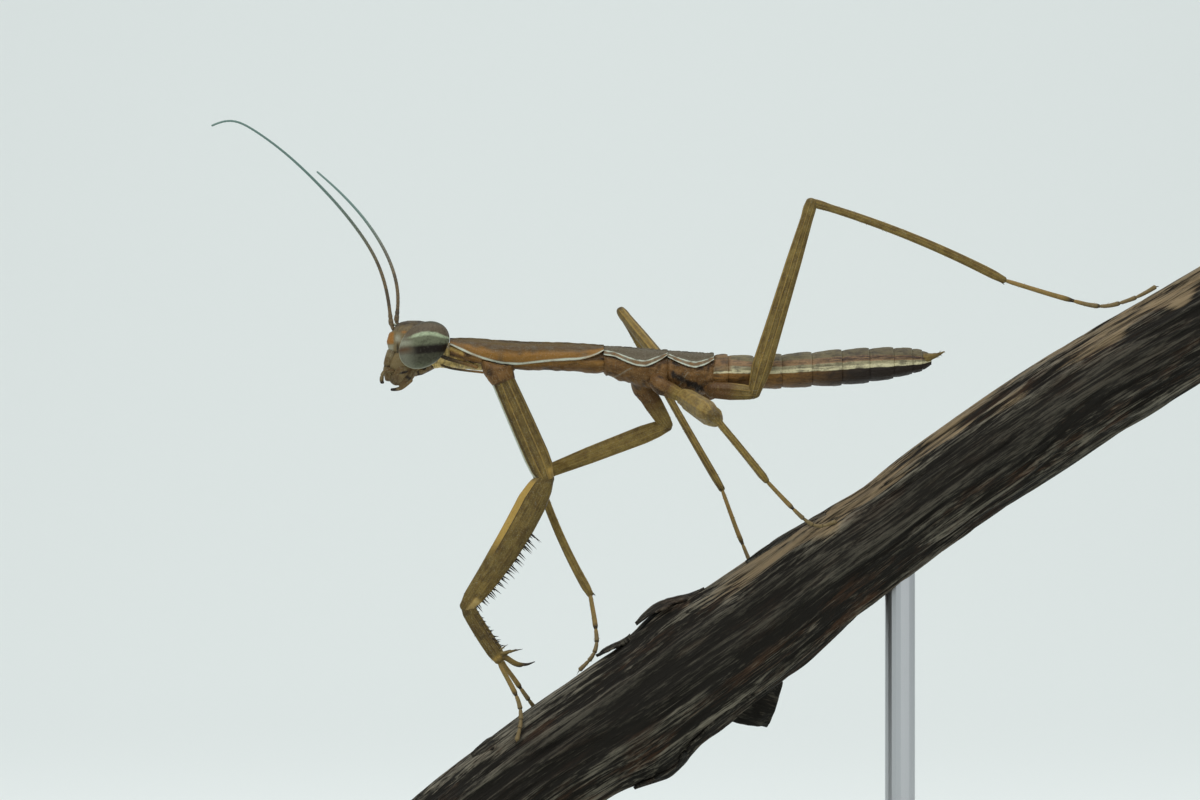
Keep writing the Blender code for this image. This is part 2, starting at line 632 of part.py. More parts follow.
def build_leg(word, leg, body, guides):
    """Coxa, femur, tibia and tarsus of one leg, mitred where they meet."""
    kind, hand = word.split("_")
    side = -1.0 if hand == "left" else 1.0
    (root, hip, knee, ankle), foot = leg_points(leg)
    side_axis = (knee - hip).cross(ankle - knee).normalized()
    stops = {"coxa": (root, hip), "femur": (hip, knee), "tibia": (knee, ankle)}
    neighbours = {"coxa": (None, knee), "femur": (root, ankle), "tibia": (hip, foot[0])}
    for part_name, (start, end) in stops.items():
        outline_name = f"{kind}_{part_name}"
        name = f"{kind}_{part_name}_{hand}"
        bow = BOWS.get(outline_name, 0.0)
        mesh = limb_mesh(name, start, end, OUTLINES[outline_name], side_axis, bow)
        before, after = neighbours[part_name]
        if before is None:
            point, normal = flank_plane(root.x, side, FLANK_TILTS[kind])
            trim(mesh, point, -normal)
        else:
            trim_at_joint(mesh, start, before, end, True)
        trim_at_joint(mesh, end, start, after, False)
        piece = place(name, mesh, body, "leg_olive", roughness=0.45)
        if outline_name in SPINES:
            spines = spine_row(name, start, end, side_axis, outline_name)
            combine(piece, place(name + "_spines", spines, guides, "leg_olive"), "UNION")
        if outline_name == "foreleg_tibia":
            claw = claw_mesh(name + "_claw", start, end, side_axis, CLAW_TURNS[hand])
            combine(piece, place(name + "_claw", claw, guides, "leg_olive"), "UNION")
    name = f"{kind}_tarsus_{hand}"
    path = smooth_path([ankle - (foot[0] - ankle).normalized() * FOOT_RADIUS, *foot], 2)
    mesh = tube_mesh(name, path, [FOOT_RADIUS] * len(path))
    trim_at_joint(mesh, ankle, knee, foot[0], True)
    place(name, mesh, body, "foot_brown", roughness=0.5)


def main():
    clear_scene()
    body = new_collection("praying_mantis")
    guides = new_collection("praying_mantis_guides")
    build_head(body)
    build_feelers(body)
    build_thorax(body)
    build_abdomen(body)
    build_cerci(body)
    for word, leg in LEGS.items():
        build_leg(word, leg, body, guides)
    build_branch(body, guides)
    build_stand(body, guides)


if __name__ == "__main__":
    main()
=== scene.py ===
"""Looks of a praying mantis nymph that walks up a cut length of branch on a display stand.

The file is laid out as an add-on and run as a script. The packed solids are loaded as
a fixed frame. Each operator reads joints, centre lines and margins from the nodes it
stands for and covers them with finer surfaces. Lengths inside the file are in
millimetres, and become metres where a mesh is made. The insect faces -X, its back is
+Z and its left side is -Y.
"""
import math

import bpy
import numpy as np
from mathutils import Matrix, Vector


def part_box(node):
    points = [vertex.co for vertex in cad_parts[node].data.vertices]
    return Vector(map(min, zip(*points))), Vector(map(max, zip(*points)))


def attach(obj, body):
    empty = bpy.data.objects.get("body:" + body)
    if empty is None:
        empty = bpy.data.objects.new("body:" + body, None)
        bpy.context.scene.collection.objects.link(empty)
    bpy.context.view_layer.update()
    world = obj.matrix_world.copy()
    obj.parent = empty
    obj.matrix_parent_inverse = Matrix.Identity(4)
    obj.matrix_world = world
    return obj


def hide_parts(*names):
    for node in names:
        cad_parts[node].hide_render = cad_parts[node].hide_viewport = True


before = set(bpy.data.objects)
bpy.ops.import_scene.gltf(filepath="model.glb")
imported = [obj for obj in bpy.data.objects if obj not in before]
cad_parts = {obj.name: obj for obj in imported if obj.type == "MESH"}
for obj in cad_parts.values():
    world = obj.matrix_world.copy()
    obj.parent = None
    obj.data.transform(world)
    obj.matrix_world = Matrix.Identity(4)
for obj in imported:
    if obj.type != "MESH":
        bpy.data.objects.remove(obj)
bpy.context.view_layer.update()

bl_info = {
    "name": "Mantis on a Branch",
    "version": (1, 0, 0),
    "blender": (4, 5, 0),
    "location": "3D View > Sidebar > Mantis",
    "description": "Dresses the solids of a mantis nymph, its perch and its display stand",
    "category": "Object",
}

MM = 0.001
HANDS = {"left": -1.0, "right": 1.0}
ACROSS = np.array([0.0, 1.0, 0.0])


# ------------------------------------------------------------------ settings

def length(name, description, default):
    """A length property in metres, written here in millimetres."""
    return bpy.props.FloatProperty(name=name, description=description, default=default * MM,
                                   min=0.0, unit="LENGTH", precision=5)


def colour(name, description, default):
    """A colour property, written as sRGB numbers from 0 to 255."""
    return bpy.props.FloatVectorProperty(name=name, description=description, size=3, min=0.0,
                                         max=1.0, subtype="COLOR", default=tuple(linear(default)))


def linear(srgb):
    """The scene-linear colour of sRGB numbers from 0 to 255."""
    share = np.asarray(srgb, float) / 255.0
    return np.where(share <= 0.04045, share / 12.92, ((share + 0.055) / 1.055) ** 2.4)


class MantisSizes(bpy.types.PropertyGroup):
    """Fine sizes that the solids leave open."""
    feeler_width: length("Feeler width", "Thickness of a feeler near its root", 0.27)
    feeler_ring: length("Feeler ring", "Length of one ring of a feeler", 0.30)
    foot_width: length("Foot width", "Thickness of the first length of a foot", 0.44)
    margin_width: length("Margin width", "Width of the pale rim of a back plate", 0.20)
    plate_thickness: length("Plate thickness", "Thickness of a back plate at its rim", 0.14)
    femur_spine: length("Femur spine", "Longest spine of a grasping femur", 1.30)
    tibia_spine: length("Tibia spine", "Longest spine of a grasping tibia", 0.55)
    hair: length("Hair", "Length of a hair on legs and tail feelers", 0.22)
    eye_facet: length("Eye facet", "Width of one facet of a compound eye", 0.060)


class MantisColours(bpy.types.PropertyGroup):
    """Colours of the shell, eyes and feelers."""
    crown: colour("Crown", "Top of the head", (86, 76, 60))
    face: colour("Face", "Front of the head", (140, 97, 46))
    cheek: colour("Cheek", "Mouth region", (112, 96, 64))
    back: colour("Back", "Top of the shield", (80, 60, 34))
    slate: colour("Slate", "Top of the two smaller back plates", (84, 76, 58))
    ochre: colour("Ochre", "Sides of the thorax plates", (126, 90, 40))
    rim: colour("Rim", "Pale rims and keels", (172, 178, 162))
    flank: colour("Flank", "Side walls of the thorax", (86, 60, 31))
    umber: colour("Umber", "Darkest shell, seams and spine tips", (34, 25, 18))
    belly: colour("Abdomen", "Upper side of the abdomen", (108, 98, 68))
    stripe: colour("Stripe", "Stripe along the abdomen", (132, 104, 72))
    cream: colour("Cream", "Pale line along the abdomen", (196, 188, 150))
    tawny: colour("Tawny", "Lower side of the abdomen", (112, 82, 46))
    leg: colour("Leg", "Main faces of the legs", (116, 98, 52))
    leg_shade: colour("Leg shade", "Darker grain of the legs", (84, 66, 32))
    straw: colour("Straw", "Keels and lobes of the legs", (176, 144, 72))
    foot: colour("Foot", "Feet", (134, 108, 62))
    skin: colour("Soft skin", "Neck and joint skin", (196, 168, 96))
    feeler_root: colour("Feeler root", "Feelers near the head", (98, 80, 50))
    feeler_tip: colour("Feeler tip", "Feelers towards the tip", (90, 116, 108))


class MantisEyes(bpy.types.PropertyGroup):
    """Bands of a compound eye, from its top down."""
    top: colour("Top", "Upper part", (92, 82, 66))
    arch: colour("Arch", "Pale arch", (158, 170, 138))
    green: colour("Green", "Grey-green part", (100, 104, 82))
    band: colour("Band", "Dark band", (24, 17, 11))
    low: colour("Low", "Lower part", (66, 66, 52))
    rim: colour("Rim", "Pale lower rim", (144, 144, 124))
    red: colour("Red", "Front end of the dark band", (84, 58, 34))


class PerchSettings(bpy.types.PropertyGroup):
    """Bark and display stand."""
    relief: length("Bark relief", "Depth of the bark's furrows", 0.46)
    groove: colour("Furrow", "Bottom of the furrows", (24, 21, 15))
    ridge: colour("Ridge", "Weathered crests of the bark", (128, 122, 106))
    tan: colour("Tan", "Bare wood along the top", (138, 120, 92))
    wood: colour("Cut wood", "Sawn ends", (176, 150, 108))
    paint: colour("Paint", "Powder coat of the base", (206, 211, 206))
    steel: colour("Steel", "Rods", (190, 192, 194))


class StageSettings(bpy.types.PropertyGroup):
    """Camera, backdrop and light."""
    distance: length("Camera distance", "From the camera to the insect", 500.0)
    view_width: length("View width", "What the picture's width takes in", 96.0)
    centre_x: bpy.props.FloatProperty(
        name="Centre along", description="Place of the view's centre along the body",
        default=-0.0140, unit="LENGTH")
    centre_z: length("Centre height", "Height of the view's centre", 45.4)
    backdrop: colour("Backdrop", "Floor and backdrop", (230, 235, 232))
    sky: bpy.props.FloatProperty(
        name="Sky", description="Strength of the light all round", default=0.58, min=0.0)
    key: bpy.props.FloatProperty(
        name="Key", description="Power of the main softbox in watts", default=1.5, min=0.0,
        subtype="POWER")


GROUPS = {"mantis_sizes": MantisSizes, "mantis_colours": MantisColours,
          "mantis_eyes": MantisEyes, "mantis_perch": PerchSettings, "mantis_stage": StageSettings}


# ------------------------------------------------------------------ reading the frame

def node_mesh(name):
    """Points in millimetres, and edges as pairs of indices, of one node."""
    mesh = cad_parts[name].data
    points = np.empty(len(mesh.vertices) * 3, np.float32)
    mesh.vertices.foreach_get("co", points)
    edges = np.empty(len(mesh.edges) * 2, np.int32)
    mesh.edges.foreach_get("vertices", edges)
    return points.reshape(-1, 3).astype(float) / MM, edges.reshape(-1, 2)


def node_box(name):
    """Lowest and highest corner of a node in millimetres."""
    low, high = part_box(name)
    return np.array(low) / MM, np.array(high) / MM


def spread(*columns):
    """Coordinates of the same or of matching shapes as one array of points."""
    return np.stack(np.broadcast_arrays(*columns), -1)


def unit(vectors):
    """Vectors of length one along the given ones."""
    vectors = np.asarray(vectors, float)
    return vectors / np.maximum(np.linalg.norm(vectors, axis=-1, keepdims=True), 1e-12)


def cut(points, edges, origin, normal):
    """The points in which a mesh's edges pass through a plane."""
    height = (points - origin) @ normal
    first, last = height[edges[:, 0]], height[edges[:, 1]]
    crossing = first * last < 0.0
    share = first[crossing] / (first[crossing] - last[crossing])
    start, end = points[edges[crossing, 0]], points[edges[crossing, 1]]
    return start + (end - start) * share[:, None]


def joint(name, other, reach=0.4):
    """Middle of the two faces with which neighbouring nodes meet."""
    first, second = node_mesh(name)[0], node_mesh(other)[0]
    apart = np.linalg.norm(first[:, None] - second[None], axis=2)
    near = apart < apart.min() + reach
    return (first[near.any(1)].mean(0) + second[near.any(0)].mean(0)) / 2.0


def far_end(name, start):
    """Middle of the end of a node that is farthest from a point."""
    points = node_mesh(name)[0]
    away = np.linalg.norm(points - start, axis=1)
    return points[away > away.max() - 0.45].mean(0)


def ending_at(line, tip, gap):
    """A line that ends at a tip, less its points nearer to that tip than the gap."""
    return np.concatenate([line[np.linalg.norm(line - tip, axis=1) > gap], [tip]])


def centre_line(name, start, step=0.35, reach=0.9):
    """Centre line of a tube-like node, read cut by cut from one of its ends."""
    points, edges = node_mesh(name)
    near = np.linalg.norm(points - start, axis=1) < 3.0 * reach
    line = [np.asarray(start, float)]
    heading = unit(points[near].mean(0) - start)
    while len(line) < 600:
        ahead = line[-1] + heading * step
        found = cut(points, edges, ahead, heading)
        found = found[np.linalg.norm(found - ahead, axis=1) < reach]
        if len(found) < 5:
            break
        line.append(found.mean(0))
        heading = unit(line[-1] - line[max(len(line) - 4, 0)])
    return np.array(line)


def run_along(path):
    """Distance along a path at each of its points."""
    return np.concatenate([[0.0], np.cumsum(np.linalg.norm(np.diff(path, axis=0), axis=1))])


def resample(path, count):
    """A path's points again, evenly spaced along it."""
    run = run_along(path)
    wanted = np.linspace(0.0, run[-1], count)
    return np.stack([np.interp(wanted, run, path[:, axis]) for axis in range(3)], 1)


def soften(values, passes=6):
    """Values along a line with small jolts averaged out and both ends kept."""
    values = np.array(values, float)
    for _ in range(passes):
        values[1:-1] = 0.25 * values[:-2] + 0.5 * values[1:-1] + 0.25 * values[2:]
    return values


def reading(shares, table, softness=0.03):
    """Columns of a table read at the given shares, with its corners rounded off."""
    table = np.asarray(table, float)
    fine = np.linspace(-0.3, 1.3, 801)
    window = np.exp(-np.linspace(-3.0, 3.0, 2 * int(softness * 1500) + 1) ** 2)
    window /= window.sum()
    columns = []
    for column in table[:, 1:].T:
        smooth = np.convolve(np.interp(fine, table[:, 0], column), window, mode="same")
        columns.append(np.interp(shares, fine, smooth))
    return columns if len(columns) > 1 else columns[0]


def bump(value, centre, width):
    """A soft hump of height one round a value."""
    return np.exp(-((np.asarray(value) - centre) / width) ** 2)


def ramp(value, start, end):
    """A smooth step from nought at start to one at end."""
    share = np.clip((np.asarray(value) - start) / (end - start), 0.0, 1.0)
    return share * share * (3.0 - 2.0 * share)


def even(count):
    """Shares from nought to one, evenly spaced."""
    return np.linspace(0.0, 1.0, count)


def once_round(count):
    """A row of evenly spaced turns in degrees, once round."""
    return np.linspace(0.0, 360.0, count, endpoint=False)[None, :]


def cosd(turn):
    """Cosine of a turn in degrees."""
    return np.cos(np.radians(turn))


def sind(turn):
    """Sine of a turn in degrees."""
    return np.sin(np.radians(turn))


def power_wave(wave, power):
    """A sine or cosine whose square section goes by the given power."""
    return np.sign(wave) * np.abs(wave) ** (2.0 / power)


def turned_apart(turn, centre):
    """Angle between two turns, from -180 to 180 degrees, all in degrees."""
    return (turn - centre + 180.0) % 360.0 - 180.0


def patches(seed, rows, columns, across, around):
    """Random values from 0 to 1 that vary smoothly over a grid whose columns close."""
    table = np.random.default_rng(seed).random((rows + 2, columns))
    across, around = np.broadcast_arrays(across, around)
    row, column = np.clip(across, 0.0, 1.0) * rows, (around % 1.0) * columns
    above, left = np.minimum(row.astype(int), rows), column.astype(int) % columns
    right = (left + 1) % columns
    down, over = ramp(row - above, 0.0, 1.0), ramp(column - np.floor(column), 0.0, 1.0)
    upper = table[above, left] * (1 - over) + table[above, right] * over
    lower = table[above + 1, left] * (1 - over) + table[above + 1, right] * over
    return upper * (1 - down) + lower * down


# ------------------------------------------------------------------ surfaces

class Surface:
    """Points in millimetres, faces of four and three corners, and marks: numbers or
    vectors that belong to the points and that the finishes read."""

    def __init__(self, points, quads, triangles, marks):
        self.points = points
        self.quads = quads
        self.triangles = triangles
        self.marks = marks

    def outward(self):
        """Turns all faces round if the closed surface encloses a negative volume."""
        corners = np.concatenate([self.quads[:, [0, 1, 2]], self.quads[:, [0, 2, 3]], self.triangles])
        a, b, c = (self.points[corners[:, column]] for column in range(3))
        if np.einsum("ij,ij->i", a, np.cross(b, c)).sum() < 0.0:
            self.quads = self.quads[:, ::-1]
            self.triangles = self.triangles[:, ::-1]
        return self


def flattened(marks, rows, columns):
    """Marks over a grid of points, spread over it and then put in one row."""
    spans = {name: (rows, columns, *np.shape(value)[2:]) for name, value in marks.items()}
    return {name: np.broadcast_to(value, spans[name]).reshape(rows * columns, *spans[name][2:])
            for name, value in marks.items()}


def woven(points, around=True, caps=True, **marks):
    """A surface over a grid of points, rows by columns. Neighbouring points form
    four-sided faces; with around the columns close to a ring, and with caps a fan
    closes each end."""
    rows, columns = points.shape[:2]
    index = np.arange(rows * columns).reshape(rows, columns)
    following = np.roll(index, -1, axis=1)
    here, beside = (index, following) if around else (index[:, :-1], index[:, 1:])
    quads = np.stack([here[:-1], beside[:-1], beside[1:], here[1:]], -1).reshape(-1, 4)
    flat = {"points": points.reshape(-1, 3), **flattened(marks, rows, columns)}
    triangles = np.empty((0, 3), int)
    if caps:
        for name, value in flat.items():
            tips = [value[:columns].mean(0)], [value[-columns:].mean(0)]
            flat[name] = np.concatenate([value, *tips])
        first = np.full(columns, rows * columns)
        triangles = np.concatenate([np.stack([following[0], index[0], first], 1),
                                    np.stack([index[-1], following[-1], first + 1], 1)])
    return Surface(flat.pop("points"), quads, triangles, flat)


def merged(surfaces):
    """Several surfaces as one, each with its faces out. A mark that one lacks is nought."""
    shapes = {name: value.shape[1:] for surface in surfaces for name, value in surface.marks.items()}
    starts = np.cumsum([0] + [len(surface.points) for surface in surfaces])
    placed = list(zip([surface.outward() for surface in surfaces], starts))
    marks = {name: np.concatenate([surface.marks.get(name, np.zeros((len(surface.points), *shape)))
                                   for surface in surfaces]) for name, shape in shapes.items()}
    return Surface(np.concatenate([surface.points for surface in surfaces]),
                   np.concatenate([surface.quads + start for surface, start in placed]),
                   np.concatenate([surface.triangles + start for surface, start in placed]), marks)


def piece_of(name, surfaces, finish, nodes=()):
    """Makes a shown piece from surfaces: a mesh at the origin with its finish, which
    rides on the root and stands for the given nodes, whose solids it hides."""
    surface = merged(surfaces)
    mesh = bpy.data.meshes.new(name)
    corners = np.concatenate([surface.quads.ravel(), surface.triangles.ravel()])
    fours, threes = len(surface.quads), len(surface.triangles)
    starts = np.concatenate([np.arange(fours) * 4, fours * 4 + np.arange(threes) * 3])
    mesh.vertices.add(len(surface.points))
    mesh.vertices.foreach_set("co", (surface.points * MM).astype(np.float32).ravel())
    mesh.loops.add(len(corners))
    mesh.loops.foreach_set("vertex_index", corners.astype(np.int32))
    mesh.polygons.add(fours + threes)
    mesh.polygons.foreach_set("loop_start", starts.astype(np.int32))
    mesh.polygons.foreach_set("use_smooth", np.ones(fours + threes, bool))
    for mark, value in surface.marks.items():
        vector = value.ndim == 2
        layer = mesh.attributes.new(mark, "FLOAT_VECTOR" if vector else "FLOAT", "POINT")
        layer.data.foreach_set("vector" if vector else "value", value.astype(np.float32).ravel())
    mesh.update(calc_edges=True)
    mesh.validate()
    piece = bpy.data.objects.new(name, mesh)
    bpy.context.scene.collection.objects.link(piece)
    mesh.materials.append(finish)
    if nodes:
        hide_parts(*nodes)
    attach(piece, "root")


def axes_along(path, side):
    """Directions at each point of a path: along it, outward from its bend, and
    sideways, square to each other."""
    along = unit(np.gradient(path, axis=0))
    sideways = unit(side - along * (along @ side)[:, None])
    return along, np.cross(along, sideways), sideways


def rounded(path):
    """The rows of a tube as numbers of its path's points: its rounded ends take five
    rows each from the end points."""
    return np.pad(np.arange(len(path)), 5, "edge")


def tube(path, side, outer, inner, depth, around=32, blunt=0.8, relief=None, marks=None, power=2.0):
    """A limb along a path. Its section at each place is two half ellipses that share
    their depth, one outward and one inward from the bend; relief(share, turn) makes
    it larger or smaller, and each end is rounded off by blunt times its half width.
    marks(share, turn) gives the marks; turn is in degrees from the outward side. A
    power above two squares the section off."""
    shares = even(len(path))
    along, outward, sideways = axes_along(path, side)
    outer, inner, depth = (np.broadcast_to(value, shares.shape) for value in (outer, inner, depth))
    swing = np.radians(np.linspace(78.0, 0.0, 6)[:-1])
    reach = blunt * (outer + inner) / 2.0
    picks = rounded(path)
    slide = np.concatenate([-np.sin(swing) * reach[0], np.zeros(len(path)),
                            np.sin(swing[::-1]) * reach[-1]])
    scale = np.concatenate([np.cos(swing), np.ones(len(path)), np.cos(swing[::-1])])
    centres = path[picks] + along[picks] * slide[:, None]
    turn = once_round(around)
    share = shares[picks][:, None]
    cosine, sine = cosd(turn), sind(turn)
    width = np.where(cosine > 0.0, outer[picks][:, None], inner[picks][:, None])
    grown = scale[:, None] * (1.0 if relief is None else relief(share, turn))
    across = width * power_wave(cosine, power) * grown
    thick = depth[picks][:, None] * power_wave(sine, power) * grown
    points = centres[:, None] + outward[picks][:, None] * across[..., None]
    points = points + sideways[picks][:, None] * thick[..., None]
    fibre = spread((run_along(path)[picks] + slide)[:, None], across, thick)
    given = {} if marks is None else marks(share, turn)
    return woven(points, fibre=fibre, **given)


def spines(roots, headings, lengths, widths, bends, sides=6, dark_from=0.25):
    """Curved cones that taper to a point, all at once. A spine's middle line is its
    root plus its heading times the share of its length plus its bend times the share
    squared; its width falls off with the share."""
    lengths, widths = (np.broadcast_to(value, len(roots)) for value in (lengths, widths))
    share = np.array([-0.06, 0.15, 0.4, 0.65, 0.85, 1.0])[:, None]
    headings = unit(headings)
    helper = np.where(np.abs(headings[:, :1]) > 0.8, [[0.0, 1.0, 0.0]], [[1.0, 0.0, 0.0]])
    first = unit(np.cross(headings, helper))
    second = np.cross(headings, first)
    middle = roots[:, None] + headings[:, None] * (share * lengths[:, None, None])
    middle = middle + bends[:, None] * share ** 2
    radius = widths[:, None, None] / 2.0 * (1.03 - np.clip(share, 0.0, 1.0) ** 1.4)
    turn = once_round(sides).T
    ring = first[:, None, None] * cosd(turn) + second[:, None, None] * sind(turn)
    grid = middle[:, :, None] + ring * radius[..., None]
    dark = ramp(share, dark_from, dark_from + 0.35)
    fibre = np.zeros((len(share), sides, 3))
    return merged([woven(spine, dark=dark, pale=0.15 * (1.0 - dark), fibre=fibre) for spine in grid])


# ------------------------------------------------------------------ shader maths

class Wire:
    """A shader socket that can be used in arithmetic, one Math node per operation."""

    def __init__(self, finish, socket):
        self.finish = finish
        self.socket = socket

    def maths(self, operation, *values):
        """One Math node over this wire and other values."""
        inputs = dict(enumerate((self, *values)))
        return self.finish.node("ShaderNodeMath", {"operation": operation}, inputs)

    def __add__(self, other):
        return self.maths("ADD", other)

    def __mul__(self, other):
        return self.maths("MULTIPLY", other)

    def __sub__(self, other):
        return self.maths("SUBTRACT", other)

    def __rsub__(self, other):
        return self * -1.0 + other

    __radd__ = __add__
    __rmul__ = __mul__


class Finish:
    """A Principled material, the nodes that feed it and the colour that shows."""

    def __init__(self, name, shown=None):
        self.shown = shown
        self.material = bpy.data.materials.new(name)
        self.material.use_nodes = True
        self.tree = self.material.node_tree
        self.shader = self.tree.nodes["Principled BSDF"]

    def put(self, socket, value):
        """Feeds a socket from a wire or sets it to a value."""
        if isinstance(value, Wire):
            self.tree.links.new(value.socket, socket)
        elif np.ndim(value) and socket.type == "RGBA":
            socket.default_value = (*value[:3], 1.0)
        else:
            socket.default_value = value

    def node(self, kind, settings=None, values=None, output=0):
        """Adds a node. Its settings are set first, a ramp's stops among them, then
        the values or links of its sockets, and one of its outputs is the result."""
        made = self.tree.nodes.new(kind)
        for name, value in (settings or {}).items():
            if name == "stops":
                elements = made.color_ramp.elements
                while len(elements) < len(value):
                    elements.new(0.5)
                for element, (place, shade) in zip(elements, value):
                    element.position = place
                    element.color = (*shade, 1.0)
            else:
                setattr(made, name, value)
        for name, value in (values or {}).items():
            self.put(made.inputs[name], value)
        return Wire(self, made.outputs[output])

    def mark(self, name):
        """A mark of the surface as a number."""
        return self.node("ShaderNodeAttribute", {"attribute_name": name}, output="Fac")

    def vector_mark(self, name, stretch):
        """A mark of the surface as a vector, stretched along its axes."""
        vector = self.node("ShaderNodeAttribute", {"attribute_name": name}, output="Vector")
        return self.node("ShaderNodeVectorMath", {"operation": "MULTIPLY"}, {0: vector, 1: stretch})

    def place(self):
        """Object coordinates in millimetres."""
        inside = self.node("ShaderNodeTexCoord", output="Object")
        return self.node("ShaderNodeVectorMath", {"operation": "SCALE"}, {0: inside, "Scale": 1.0 / MM})

    def noise(self, vector, scale, detail=3.0, roughness=0.55):
        """A cloudy noise over a vector."""
        return self.node("ShaderNodeTexNoise", None, {"Vector": vector, "Scale": scale,
                                                      "Detail": detail, "Roughness": roughness})

    def mottle(self, *settings):
        """A noise by place."""
        return self.noise(self.place(), *settings)

    def grain(self, stretch, *settings):
        """A noise drawn out along the fibre."""
        return self.noise(self.vector_mark("fibre", stretch), *settings)

    def step(self, value, start, end):
        """A smooth step of a wire from nought at start to one at end."""
        return self.node("ShaderNodeMapRange", {"interpolation_type": "SMOOTHSTEP"},
                         {"Value": value, "From Min": start, "From Max": end})

    def mix(self, share, first, second):
        """Two colours mixed by a share from nought to one."""
        return self.node("ShaderNodeMix", {"data_type": "RGBA", "clamp_factor": True},
                         {"Factor": share, 6: first, 7: second}, output=2)

    def lay(self, share, tone):
        """Lays a tone over what shows so far, by a share from nought to one."""
        self.shown = self.mix(share, self.shown, tone)

    def lay_marks(self, tones, mottle, *words):
        """Lays the tones of some marks, with edges that follow the mottle."""
        for word in words:
            share = self.mark(word) * (0.55 + 0.9 * mottle)
            self.lay(self.step(share, 0.05, 0.95), tones[word])

    def shades(self, value, stops):
        """A colour for each value, from a list of places and colours."""
        return self.node("ShaderNodeValToRGB", {"stops": stops}, {"Fac": value})

    def comb(self, value, centres, width):
        """One at each of several values, and nought farther than the width from them."""
        stops = [(0.0, (0.0,) * 3)]
        for centre in centres:
            for place, height in ((centre - width, 0.0), (centre, 1.0), (centre + width, 0.0)):
                stops.append((min(max(place, 0.0), 1.0), (height,) * 3))
        return self.shades(value, stops)

    def relief(self, height, distance, strength=1.0):
        """Feeds a height in shares of a distance in millimetres to the normal."""
        normal = self.node("ShaderNodeBump", None, {"Height": height, "Distance": distance * MM,
                                                    "Strength": strength})
        self.put(self.shader.inputs["Normal"], normal)

    def surface(self, **sockets):
        """Feeds what shows to the shader, sets more of its sockets and ends the finish."""
        for name, value in {"base_color": self.shown, **sockets}.items():
            title = name.replace("_", " ").title().replace("Ior", "IOR")
            self.put(self.shader.inputs[title], value)
        return self.material


# ------------------------------------------------------------------ finishes

def body_tones(tones, ground, shade, warm, stripe=None, pale=None):
    """The tones that a shell takes, each for the mark of its name. Without tones of their
    own, stripes take the shade's and pale marks that of the rims."""
    return {"ground": ground, "shade": shade, "warm": warm, "dark": tones.umber,
            "stripe": stripe or shade, "pale": pale or tones.rim, "flange": tones.straw}


def shell_ground(name, tones, streaks):
    """A shell's ground, two tones in streaks along the fibre and in mottles, and the
    noises that it follows: mottle, streak and grain."""
    finish = Finish(name, tones["shade"])
    place = finish.place()
    streak = finish.grain(streaks, 1.3, 4.0)
    mottle = finish.noise(place, 1.7, 4.0)
    grain = finish.noise(place, 11.0, 2.0, 0.6)
    finish.lay(finish.step(streak * 0.5 + mottle * 0.5, 0.36, 0.62), tones["ground"])
    return finish, mottle, streak, grain


def shell_surface(finish, noises, tones):
    """Ends a shell: dark and pale grains, a fine relief and a low gloss."""
    mottle, streak, grain = noises
    finish.lay(finish.step(grain, 0.56, 0.72) * 0.38, tones["dark"])
    finish.lay(finish.step(grain, 0.44, 0.30) * 0.16, tones["pale"])
    finish.relief(grain * 0.55 + streak * 0.45, 0.05, 0.8)
    return finish.surface(roughness=0.54 + 0.24 * (mottle - 0.5), specular_ior_level=0.14,
                          coat_weight=0.02, coat_roughness=0.3)


def shell_finish(name, *tones):
    """Horny shell: its ground, over which marks lay their own tones."""
    tones = body_tones(*tones)
    finish, *noises = shell_ground(name, tones, (0.8, 4.5, 4.5))
    finish.lay_marks(tones, noises[0], "warm", "stripe", "pale", "dark")
    return shell_surface(finish, noises, tones)


def limb_finish(name, *tones):
    """Shell of a limb: keels as pale lines and seams as dark ones, both at their levels
    across it. The mark flange turns the outer edge to straw, off a thin dark line."""
    tones = body_tones(*tones)
    finish, *noises = shell_ground(name, tones, (0.5, 5.0, 5.0))
    level = finish.mark("level") + 0.02 * (noises[0] - 0.5)
    edge = finish.mark("flange") * finish.step(level, 0.785, 0.805) * 0.72
    lines = finish.mark("lined")
    finish.lay(finish.comb(level, KEELS, 0.034) * lines * 0.62, tones["warm"])
    finish.lay(finish.comb(level, SEAMS, 0.030) * lines * 0.50, tones["dark"])
    finish.lay_marks(tones, noises[0], "stripe", "warm", "pale", "dark")
    finish.lay(edge, tones["flange"])
    seam = finish.mark("flange") * finish.comb(level, (0.785,), 0.03)
    finish.lay(seam * 0.85, tones["dark"])
    return shell_surface(finish, noises, tones)


